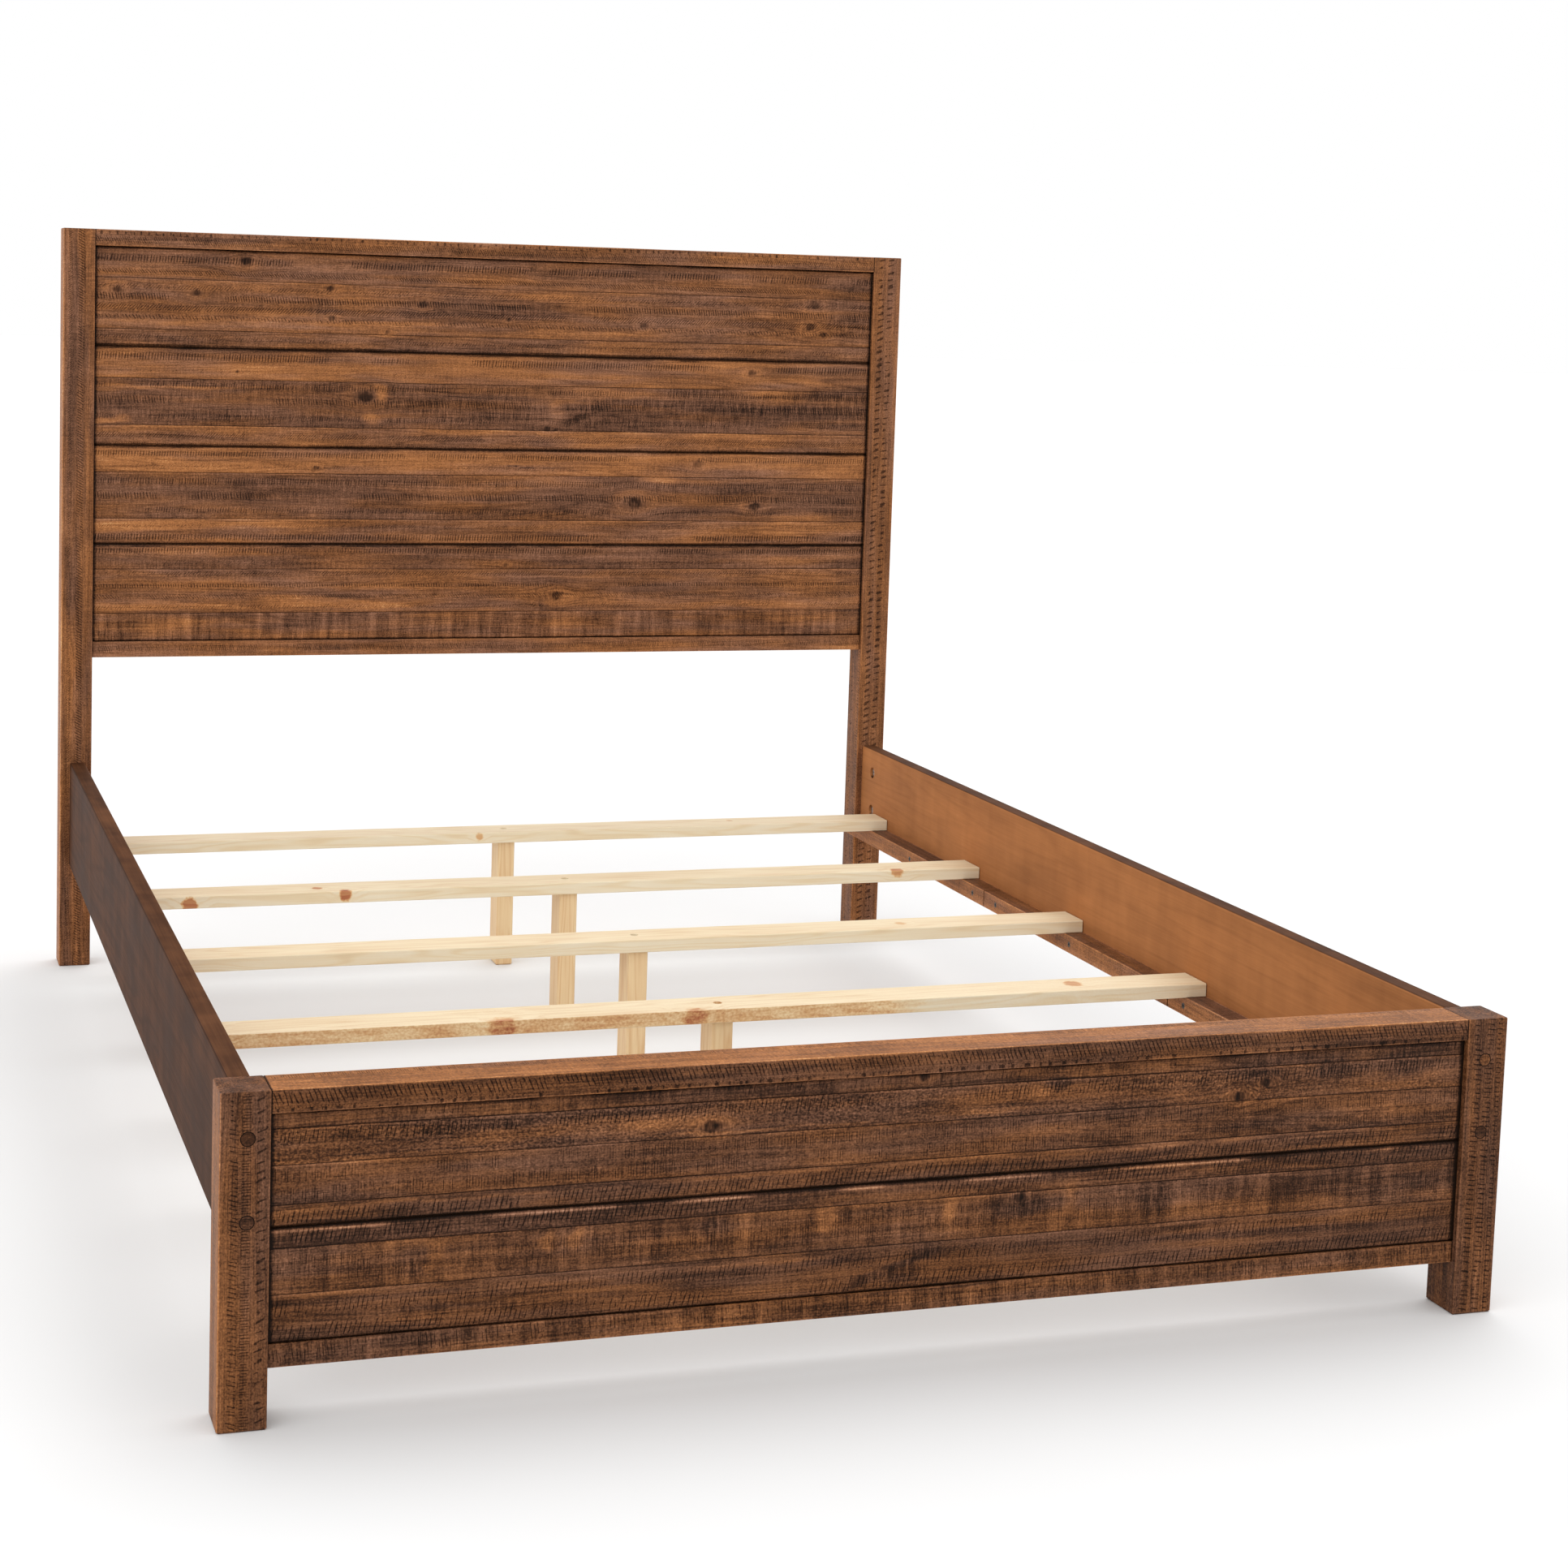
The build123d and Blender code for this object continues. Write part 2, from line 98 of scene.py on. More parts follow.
def layered_noise(x, y, seed, layers=3):
    """Noise from -1 to 1 with finer and fainter layers."""
    total = sum(
        (2 * value_noise(x * 2**i, y * 2**i, seed + i) - 1) * 0.5**i for i in range(layers)
    )
    return total / sum(0.5**i for i in range(layers))


def smooth_step(value, low, high):
    """0 at low, 1 at high, smooth between; high may be the smaller."""
    t = np.clip((value - low) / (high - low), 0, 1)
    return t * t * (3 - 2 * t)


# ---------------------------------------------------------------- material graphs


class Value:
    """A socket of a material's node tree that can be used in sums and products."""

    def __init__(self, graph, socket):
        self.graph, self.socket = graph, socket

    def __add__(self, other):
        return self.graph.math("ADD", self, other)

    def __sub__(self, other):
        return self.graph.math("SUBTRACT", self, other)

    def __rsub__(self, other):
        return self.graph.math("SUBTRACT", other, self)

    def __mul__(self, other):
        return self.graph.math("MULTIPLY", self, other)

    def __truediv__(self, other):
        return self.graph.math("DIVIDE", self, other)

    __radd__, __rmul__ = __add__, __mul__

    def size(self):
        """The absolute value."""
        return self.graph.math("ABSOLUTE", self)

    def step(self, low, high):
        """0 at low, 1 at high, smooth between."""
        return self.graph.span(self, low, high)

    def wave(self):
        """A triangle wave: 0 at whole numbers, 1 halfway between them."""
        return self.graph.math("PINGPONG", self, 0.5) * 2


class Graph:
    """Builds one material's node tree."""

    def __init__(self, name):
        self.material = bpy.data.materials.new(name)
        self.material.use_nodes = True
        self.tree = self.material.node_tree
        self.tree.nodes.clear()
        place = self.tree.nodes.new("ShaderNodeTexCoord")
        self.position = Value(self, place.outputs["Object"])
        self.x, self.y, self.z = self.split(self.position)
        normal = self.split(Value(self, place.outputs["Normal"]))
        self.nx, self.ny, self.nz = normal

    def put(self, socket, value):
        """Sets an input from a number, a colour or another socket."""
        if isinstance(value, Value):
            self.tree.links.new(value.socket, socket)
        elif hasattr(socket.default_value, "__len__") and not hasattr(value, "__len__"):
            socket.default_value = [value] * len(socket.default_value)
        elif socket.type == "RGBA":
            socket.default_value = (*value, 1.0)
        else:
            socket.default_value = value

    def node(self, kind, inputs, **settings):
        """Adds a node; inputs maps an input's name or number to its value."""
        made = self.tree.nodes.new(kind)
        for name, setting in settings.items():
            setattr(made, name, setting)
        for name, value in inputs.items():
            self.put(made.inputs[name], value)
        return made

    def math(self, operation, *values):
        made = self.node("ShaderNodeMath", dict(enumerate(values)), operation=operation)
        return Value(self, made.outputs[0])

    def split(self, vector):
        made = self.node("ShaderNodeSeparateXYZ", {0: vector})
        return [Value(self, out) for out in made.outputs]

    def join(self, *parts):
        made = self.node("ShaderNodeCombineXYZ", dict(enumerate(parts)))
        return Value(self, made.outputs[0])

    def span(self, value, low, high, start=0.0, end=1.0):
        made = self.node(
            "ShaderNodeMapRange",
            {0: value, 1: low, 2: high, 3: start, 4: end},
            interpolation_type="SMOOTHSTEP",
        )
        return Value(self, made.outputs[0])

    def noise(self, *parts, detail=2.0, roughness=0.5, distortion=0.0):
        """Noise from about 0 to 1 at a place given in units of its own features."""
        made = self.node(
            "ShaderNodeTexNoise",
            {"Vector": self.join(*parts), "Scale": 1.0, "Detail": detail, "Roughness": roughness,
             "Distortion": distortion},
        )
        return Value(self, made.outputs[0])

    def attribute(self, name):
        made = self.node("ShaderNodeAttribute", {}, attribute_name=name)
        return self.split(Value(self, made.outputs["Vector"]))

    def blend(self, factor, low, high):
        made = self.node("ShaderNodeMix", {0: factor, 6: low, 7: high}, data_type="RGBA")
        return Value(self, made.outputs[2])

    def ramp(self, factor, stops):
        """A colour from (position, colour) stops."""
        made = self.node("ShaderNodeValToRGB", {0: factor})
        elements = made.color_ramp.elements
        while len(elements) < len(stops):
            elements.new(0.5)
        for element, (position, colour) in zip(elements, stops):
            element.position, element.color = position, (*colour, 1.0)
        return Value(self, made.outputs[0])

    def finish(self, colour, roughness, height, depth, **fixed):
        """The surface: height from 0 to 1 stands for depth metres of relief."""
        bump = self.node("ShaderNodeBump", {"Strength": 1.0, "Distance": depth, "Height": height})
        inputs = {"Base Color": colour, "Roughness": roughness, "Normal": Value(self, bump.outputs[0])}
        inputs |= {name.replace("_", " "): value for name, value in fixed.items()}
        surface = self.node("ShaderNodeBsdfPrincipled", inputs)
        output = self.node("ShaderNodeOutputMaterial", {})
        self.tree.links.new(surface.outputs[0], output.inputs[0])
        return self.material


# ---------------------------------------------------------------- stained sawn wood

COOL_STAIN = [
    (0.0, (0.010, 0.005, 0.003)),
    (0.25, (0.052, 0.023, 0.013)),
    (0.5, (0.170, 0.077, 0.043)),
    (0.75, (0.345, 0.165, 0.098)),
    (1.0, (0.600, 0.350, 0.225)),
]
WARM_STAIN = [
    (0.0, (0.012, 0.005, 0.002)),
    (0.25, (0.070, 0.026, 0.010)),
    (0.5, (0.225, 0.088, 0.032)),
    (0.75, (0.460, 0.185, 0.064)),
    (1.0, (0.760, 0.430, 0.190)),
]


def stained(g, level, warmth):
    """The stain's colour: level from dark to worn, warmth from purple-brown to orange."""
    return g.blend(warmth, g.ramp(level, COOL_STAIN), g.ramp(level, WARM_STAIN))


def saw_dashes(grain, field):
    """Broken strokes across the grain, from 0 to 1, where field's marks are strong."""
    jitter = (grain(8, 60, detail=1.0) - 0.5) * 0.9
    length = (grain(5, 14, detail=1.0) - 0.5) * 1.5
    cut = (field["marks"] + length).step(0.30, 0.50) * field["marks"].step(0.0, 0.15)
    stroke = (field["phase"] + jitter).wave() + field["marks"] * 0.35
    return stroke.step(0.84, 1.06) * cut


def sawn_finish(g, along, across, depth, field, tone):
    """Stained sawn wood. along, across and depth are places in metres, along the grain and not.

    field has what is given one by one: phase and marks for the saw's dashes, stain for dark patches
    (negative is warm; on the beams it also holds each face's painted light and shade), bands for marks
    right across a stave, fuzz for torn grain, edge for worn edges and dark joints (negative), with
    painted highlights and painted shade on the planks and rail ends, and, where there are any, knot.
    """

    def grain(length, width, **more):
        """Noise whose features are that long and wide, in millimetres."""
        wide = width * MM
        return g.noise(along / (length * MM), across / wide, depth / wide, **more)

    fibre = grain(70, 1.7, detail=3.0)
    streak = grain(260, 8, detail=4.0)
    cloud = grain(110, 40, detail=4.0)
    hue = grain(230, 30, detail=3.0)
    speckle = grain(2.4, 1.9, detail=2.0)
    pore = grain(14, 1.1, detail=1.0).step(0.58, 0.72)
    weave = grain(2.2, 24, detail=2.0)
    band = grain(15, 260, detail=4.0, roughness=0.65)
    torn = grain(3.4, 2.6, detail=2.0)
    ring = (grain(770, 38, detail=1.0) * 20 + fibre * 0.3).wave().step(0.50, 1.0)
    ring = ring * grain(420, 70, detail=1.0).step(0.40, 0.58)
    scratch = (band * 13).wave().step(0.82, 1.0)
    dash = saw_dashes(grain, field)

    smoky = field["stain"].step(0.0, 0.8)
    level = (streak - 0.5) * 0.34 + (fibre - 0.5) * 0.42 + (cloud - 0.5) * 0.34 + tone
    level = level - field["stain"] * 0.22 - ring * 0.10 - pore * 0.08
    level = level + (band - 0.5) * field["bands"] * 0.8 - scratch * field["bands"] * 0.22
    level = level + (weave - 0.5) * (smoky * 0.65 + 0.22) + (speckle - 0.5) * 0.55
    level = level + (torn - 0.5) * field["fuzz"] * 1.3
    # edge lightens worn edges and darkens joints; on the planks and rail ends it also brings painted
    # highlights and painted shade
    level = level - dash * 0.27 + field["edge"] * 0.22
    warmth = (hue - 0.5) * 2.6 + 0.55 - field["stain"] * 0.45 - smoky * 0.2
    if "knot" in field:
        rim = field["knot"].wave()
        level = level - field["knot"] * 0.22 - rim * 0.10 * field["knot"].step(0.0, 0.3)
    colour = stained(g, level, warmth.step(0.0, 1.0))

    height = 0.6 + (fibre - 0.5) * 0.45 + (weave - 0.5) * 0.2 - dash * 0.6
    height = height + (torn - 0.5) * (field["fuzz"] * 1.2 + 0.15) + (speckle - 0.5) * 0.25
    roughness = 0.5 + (fibre - 0.5) * 0.25 + (cloud - 0.5) * 0.2 + dash * 0.2
    return g.finish(colour, roughness, height, 0.0007, Specular_IOR_Level=0.07)


def staved_wood(name, tone):
    """The panel planks' wood, whose features come with each vertex."""
    g = Graph(name)
    warp, phase, marks = g.attribute("grain")
    stain, knot, bands = g.attribute("tone")
    # wear_and_light: torn grain, the edge with dark glue lines, painted highlights, painted groove
    # shade and painted post shadow, then the stave's offset
    fuzz, edge, stave = g.attribute("wear_and_light")
    field = {"phase": phase, "marks": marks, "stain": stain, "knot": knot, "bands": bands,
             "fuzz": fuzz, "edge": edge}
    return sawn_finish(g, g.x + stave, g.z + warp, g.y + stave, field, tone)


def row_marks(g, rows, along):
    """Phase and strength of the saw's dashes in straight rows.

    A row is (across, centre, half width, pitch, slant, strength): across is the coordinate that
    crosses the row, slant the run along the grain per metre across it.
    """
    wobble = g.noise(along * 30, 0.0, 0.0) * 0.9
    patchy = g.noise(along * 14, rows[0][0] * 60, 0.0)
    phase, marks = wobble, along * 0.0
    for across, centre, half, pitch, slant, strength in rows:
        offset = across - centre
        window = offset.size().step(half, half * 0.35)
        inside = g.math("LESS_THAN", offset.size(), half)
        phase = phase + (along + offset * slant) / pitch * inside
        marks = marks + window * strength * patchy.step(0.30, 0.46)
    return phase, marks


def face_rows(g, rows, centre):
    """The beams' rows of dashes in the form of row_marks, each only on its own face."""
    sides = {"x": g.x - centre[0], "y": g.y - centre[1], "z": g.z - centre[2]}
    facing = {"x": g.nx.size(), "y": g.ny.size(), "z": g.nz.size()}
    return [
        (sides[axis], middle * MM, half * MM, pitch * MM, slant,
         facing[face].step(0.6, 0.8) * strength)
        for face, axis, middle, half, pitch, slant, strength in rows
    ]


def face_tone_and_light_shift(g, face_tones_and_light):
    """How much the tones of single faces darken (above 0) or warm the stain: mostly painted light on
    lit faces and painted shade on shaded ones.
    """
    shift = 0.0
    for normal, amount in face_tones_and_light:
        part = [g.nx, g.ny, g.nz][abs(normal) - 1] * math.copysign(1, normal)
        shift = part.step(0.5, 0.8) * amount / FACE_TONE_SCALE + shift
    return shift


def beam_wood(name, low, high, grain, rows, tone, face_tones_and_light=(), bands=0.15, fuzz=0.1):
    """Wood of a straight CAD beam: worn edges, painted shade at a rail's ends, dash rows and a tone for
    each face, partly painted light and shade.

    face_tones_and_light holds (normal, shift) pairs that lighten or darken the faces one way, mostly as
    painted light and shade: normal is
    1, 2 or 3 for +X, +Y or +Z, and negative for the other way.
    """
    g = Graph(name)
    centre, half = (low + high) / 2, (high - low) / 2
    places = [g.x, g.y, g.z]
    offsets = [(place - centre[i]).size() for i, place in enumerate(places)]
    inset = [half[i] - offsets[i] for i in range(3) if i != grain]
    edge = g.math("MAXIMUM", *inset)
    rough_edge = edge + g.noise(places[grain] * 45, places[grain - 1] * 20, 0.0) * 2.2 * MM
    wear_and_painted_light = rough_edge.step(BEAM_WEAR_START, BEAM_WEAR_END)
    along = places[grain]
    across, depth = [places[i] for i in range(3) if i != grain]
    if rows:
        phase, marks = row_marks(g, face_rows(g, rows, centre), along)
    else:
        phase = along * 180
        marks = g.noise(along * 20, across * 300, depth * 300).step(0.62, 0.7) * 0.4
    # the last 2 mm of a rail's ends are darkened: painted shade where the rail meets its post
    if grain == 0:
        wear_and_painted_light = wear_and_painted_light - offsets[0].step(half[0] - 2.0 * MM, half[0] - 0.5 * MM) * 2.0
    shift = (g.noise(along * 2.2, across * 40, depth * 40) - 0.5) * 0.8
    # the stain here also carries each face's painted light and painted shade
    shift = shift - face_tone_and_light_shift(g, face_tones_and_light)
    field = {"phase": phase, "marks": marks, "stain": shift, "bands": bands, "fuzz": fuzz,
             "edge": wear_and_painted_light}
    return sawn_finish(g, along, across, depth, field, tone)


# ---------------------------------------------------------------- panel planks


class Stave:
    """One glued strip of a plank, from the top down.

    share is its part of the plank's height, sink its depth below the plank's face in
    millimetres, and rows its saw marks as (place from 0 at its top to 1, half width, pitch,
    slant, strength), with widths in millimetres.
    """

    def __init__(self, share, sink, stain, bands=0.0, fuzz=0.1, rows=()):
        self.share, self.sink, self.stain = share, sink, stain
        self.bands, self.fuzz, self.rows = bands, fuzz, rows


class Plank:
    """One panel plank. Places run from 0 to 1, from its left end and from its top.

    spots are (place along, place down, half length, half height, amount) and knots (place
    along, place down, radius in millimetres, darkness). Dark amounts are positive, warm ones
    negative. painted_lip_light is the painted highlight (above 0) or painted shade (below 0) on the
    edges of the plank.
    """

    def __init__(self, staves, spots, knots, flames=(), painted_lip_light=-0.9):
        self.staves, self.spots, self.knots = staves, spots, knots
        self.flames, self.painted_lip_light = flames, painted_lip_light


def stave_levels(bottom, top, staves):
    """The top and bottom of each stave."""
    height, level, found = top - bottom, top, []
    for stave in staves:
        low = level - stave.share * height
        found.append((level, low))
        level = low
    return found


def face_samples(bottom, top, staves, painted_lip_light):
    """Heights to sample up a plank's face, doubled at the glue lines.

    Each is (height, stave, notch depth, brow_light), where brow_light is the painted highlight on a
    stave's top edge; the plank's topmost sample takes its painted lip light instead.
    """
    samples = []
    for index, (high, low) in enumerate(stave_levels(bottom, top, staves)):
        count = max(3, round((high - low) / ROW_STEP))
        inner = np.linspace(high - NOTCH_HEIGHT, low + NOTCH_HEIGHT, count)
        # each stave's top sample gets a painted highlight
        samples += [(z, index, 0.0, BROW_HIGHLIGHT_EDGE * (z == inner[0])) for z in inner]
        if index == 0:
            # the plank's topmost face sample takes the painted lip light: a painted highlight above 0,
            # painted shade below 0
            samples[0] = (inner[0], index, 0.0, painted_lip_light)
        if index < len(staves) - 1:
            samples.append((low + NOTCH_HALF_GAP, index, NOTCH_DEPTH, 0))
            samples.append((low - NOTCH_HALF_GAP, index + 1, NOTCH_DEPTH, 0))
    return samples[::-1]


def flame_stain(px, w, flames, length, height, seed):
    """Long tongues of darker or, if negative, warmer grain that narrow to a tip.

    Each is (start, tip, height at the start, height at the tip, half height, amount).
    """
    stain = np.zeros_like(px)
    wobble = layered_noise(px / 0.08, w * 0, seed + 51) * 1.5 * MM
    for start, tip, w_start, w_tip, half, amount in flames:
        t = (px / length - start) / (tip - start)
        centre = w_start + (w_tip - w_start) * t
        reach = half * height * np.sqrt(np.clip(1 - t, 0, 1))
        offset = np.abs((w - centre) * height + wobble)
        inside = smooth_step(offset, reach + 1.4 * MM, reach - 1.4 * MM) * (t < 1)
        stain = stain + amount * 0.55 * inside * smooth_step(t, 0.0, 0.4)
    return stain


def plank_fields(x, w, stave_of, plank, low, high, seed):
    """The painted features at each vertex: x from 0 to 1 along, w from 0 at the top to 1."""
    length, height = high.x - low.x, high.z - low.z
    px, pz = x * length, w * height
    stain = np.choose(stave_of, [s.stain for s in plank.staves])
    stain = stain + flame_stain(px, w, plank.flames, length, height, seed)
    wander = layered_noise(px / 0.16, pz / 0.02, seed)
    edge_x = layered_noise(px / 0.03, pz / 0.012, seed + 9) * 9 * MM
    edge_z = layered_noise(px / 0.045, pz / 0.02, seed + 19) * 5 * MM
    stain = stain + wander * 0.28
    for cx, cw, hx, hw, amount in plank.spots:
        dx = (px - cx * length + edge_x) / (hx * length)
        dz = (pz - cw * height + edge_z) / (hw * height)
        stain = stain + amount * 0.8 * smooth_step(np.hypot(dx, dz), 1.35, 0.35)
    warp = layered_noise(px / 0.33, pz / 0.09, seed + 5) * 5 * MM
    knot = np.zeros_like(px)
    for cx, cw, radius, dark in plank.knots:
        dx, dz = px - cx * length, pz - cw * height
        reach = np.hypot(dx / 1.7, dz)
        warp = warp + dz * 0.85 * np.exp(-((reach / (radius * MM * 1.9)) ** 2))
        round_off = np.hypot(dx, dz * 1.15) + edge_x * 0.15
        knot = np.maximum(knot, dark * smooth_step(round_off / (radius * MM), 1.15, 0.35))
        stain = stain - 0.30 * np.exp(-(((reach - radius * MM * 1.4) / (radius * MM * 0.5)) ** 2))
    return np.tanh(stain), warp, knot


def plank_marks(px, w, stave_of, staves, height, seed):
    """Phase and strength of the saw's dashes over a plank's face."""
    phase, marks = px / 0.005, np.zeros_like(px)
    tops = np.cumsum([0.0] + [s.share for s in staves])
    wobble = layered_noise(px / 0.06, w * 0, seed + 31) * 0.8
    for index, stave in enumerate(staves):
        for number, (place, half, pitch, slant, strength) in enumerate(stave.rows):
            offset = (w - tops[index] - place * stave.share) * height
            inside = (np.abs(offset) < half * MM) & (stave_of == index)
            presence = value_noise(px / 0.07, px * 0 + number * 3.3 + index * 7.7, seed + 41)
            power = strength * smooth_step(presence, 0.08, 0.30)
            fade = smooth_step(np.abs(offset), half * MM, half * 0.35 * MM)
            marks = np.where(inside, power * fade, marks)
            phase = np.where(inside, (px + offset * slant) / (pitch * MM) + wobble, phase)
    return phase, marks


def plank_outline(low, high, staves, painted_lip_light):
    """The closed section of a plank: (y, z, stave, notch, brow_light, face) points, brow_light being
    painted highlight and painted shade.

    face is 1 on the front, -1 on the back and 0 on the tongue, groove and chamfers.
    """
    top, bottom = high.z - TONGUE_HEIGHT, low.z
    front, back = low.y, high.y
    middle = (front + back) / 2
    face = face_samples(bottom + PLANK_CHAMFER, top - PLANK_CHAMFER, staves, painted_lip_light)
    root = bottom + TONGUE_HEIGHT + TONGUE_GAP
    left, right = middle - TONGUE_HALF, middle + TONGUE_HALF
    upper = [(front + PLANK_CHAMFER, top), (left, top), (left, high.z), (right, high.z),
             (right, top), (back - PLANK_CHAMFER, top)]
    lower = [(back - PLANK_CHAMFER, bottom), (right, bottom), (right, root), (left, root),
             (left, bottom), (front + PLANK_CHAMFER, bottom)]
    points = [(front, *sample, 1) for sample in face]
    points += [(y, z, 0, 0, 0, 0) for y, z in upper]
    points += [(back, *sample, -1) for sample in reversed(face)]
    points += [(y, z, len(staves) - 1, 0, 0, 0) for y, z in lower]
    return points, bottom, top


def write_vectors(mesh, name, *parts):
    """Stores three numbers at each vertex for the material to read."""
    values = np.stack([np.broadcast_to(p, parts[0].shape) for p in parts], axis=-1)
    layer = mesh.attributes.new(name, "FLOAT_VECTOR", "POINT")
    layer.data.foreach_set("vector", values.astype(np.float32).ravel())


def lofted_mesh(name, places, closed=True):
    """A closed tube from a (stations, points, 3) array, with end caps."""
    stations, points, _ = places.shape
    index = np.arange(stations * points).reshape(stations, points)
    ahead = np.roll(index, -1, axis=1)
    quads = np.stack([index[:-1], index[1:], ahead[1:], ahead[:-1]], axis=-1).reshape(-1, 4)
    mesh = bpy.data.meshes.new(name)
    caps = [list(map(int, index[0])), list(map(int, index[-1][::-1]))]
    mesh.from_pydata(places.reshape(-1, 3).tolist(), [], quads.tolist() + caps)
    mesh.shade_smooth()
    return mesh


def plank_relief(px, z, stave_of, notch, staves, seed):
    """How far each vertex lies below the plank's face."""
    sink = np.choose(stave_of, [s.sink * MM for s in staves])
    relief = (value_noise(px / 0.07, z / 0.012, seed + 3) * 0.35 + sink / MM) * MM
    relief = relief + value_noise(px / 0.011, z / 0.004, seed + 4) * 0.22 * MM
    return relief + notch * (0.5 + value_noise(px / 0.03, z * 0, seed + 6))


def plank_edge_light_and_joints(px, z, notch, brow_light, face, half_length, seed):
    """Painted highlights on the stave tops in patches, painted shade on the chamfers, tongue and
    groove, dark glue lines, and the painted shadow of the posts on the plank's ends.
    """
    wear_and_painted_light = smooth_step(value_noise(px / 0.05, z / 0.03, seed + 14), 0.35, 0.75)
    # chamfers, tongue and groove get painted shade, stave tops a patchy painted highlight, glue lines a
    # dark joint
    edge = np.where(face == 0, GROOVE_SHADE_EDGE, np.where(notch > 0, GLUE_LINE_EDGE, brow_light * wear_and_painted_light))
    seen = half_length - HOUSING
    # painted shadow of the post over each visible end of the plank
    return edge + POST_SHADOW_EDGE * smooth_step(np.abs(px), seen - 5 * MM, seen)


def show_plank(node, mesh, material):
    """Shows the mesh in place of the CAD node."""
    mesh.materials.append(material)
    piece = bpy.data.objects.new(f"{node}_staves", mesh)
    bpy.context.scene.collection.objects.link(piece)
    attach(piece, "bed_frame")
    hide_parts(node)
    "stained_headboard_wood" if "head" in node else "stained_footboard_wood"


def make_plank(node, plank, material, seed):
    """Rebuilds one panel plank as glued staves with notched glue lines, painted highlights on the stave
    tops and grooves darkened with painted shade.
    """
    low, high = (Vector(c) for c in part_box(node))
    staves = plank.staves
    outline, bottom, top = plank_outline(low, high, staves, plank.painted_lip_light)
    y, z, *section = (np.array(v) for v in zip(*outline))
    stations = np.linspace(low.x, high.x, round((high.x - low.x) / STATION_STEP))
    px, z = np.meshgrid(stations, z, indexing="ij")
    y, stave_of, notch, brow_light, face = (np.broadcast_to(v, px.shape) for v in (y, *section))
    y = y + face * plank_relief(px, z, stave_of, notch, staves, seed)
    mesh = lofted_mesh(f"{node}_staves", np.stack([px, y, z], axis=-1))

    u, w = (px - low.x) / (high.x - low.x), (top - z) / (top - bottom)
    stain, warp, knot = plank_fields(u, w, stave_of, plank, low, high, seed)
    phase, marks = plank_marks(px, w, stave_of, staves, top - bottom, seed)
    bands = np.choose(stave_of, [s.bands for s in staves])
    fuzz = np.choose(stave_of, [s.fuzz for s in staves])
    fuzz = fuzz * (0.5 + value_noise(px / 0.09, w * 4, seed + 12))
    # edge holds the painted highlights, painted groove shade, painted post shadow and the dark glue
    # lines
    edge = plank_edge_light_and_joints(px, z, notch, brow_light, face, high.x, seed)
    write_vectors(mesh, "grain", warp, phase, marks * (face != 0))
    write_vectors(mesh, "tone", stain, knot, bands)
    write_vectors(mesh, "wear_and_light", fuzz, edge, stave_of * 0.37 + seed)
    show_plank(node, mesh, material)


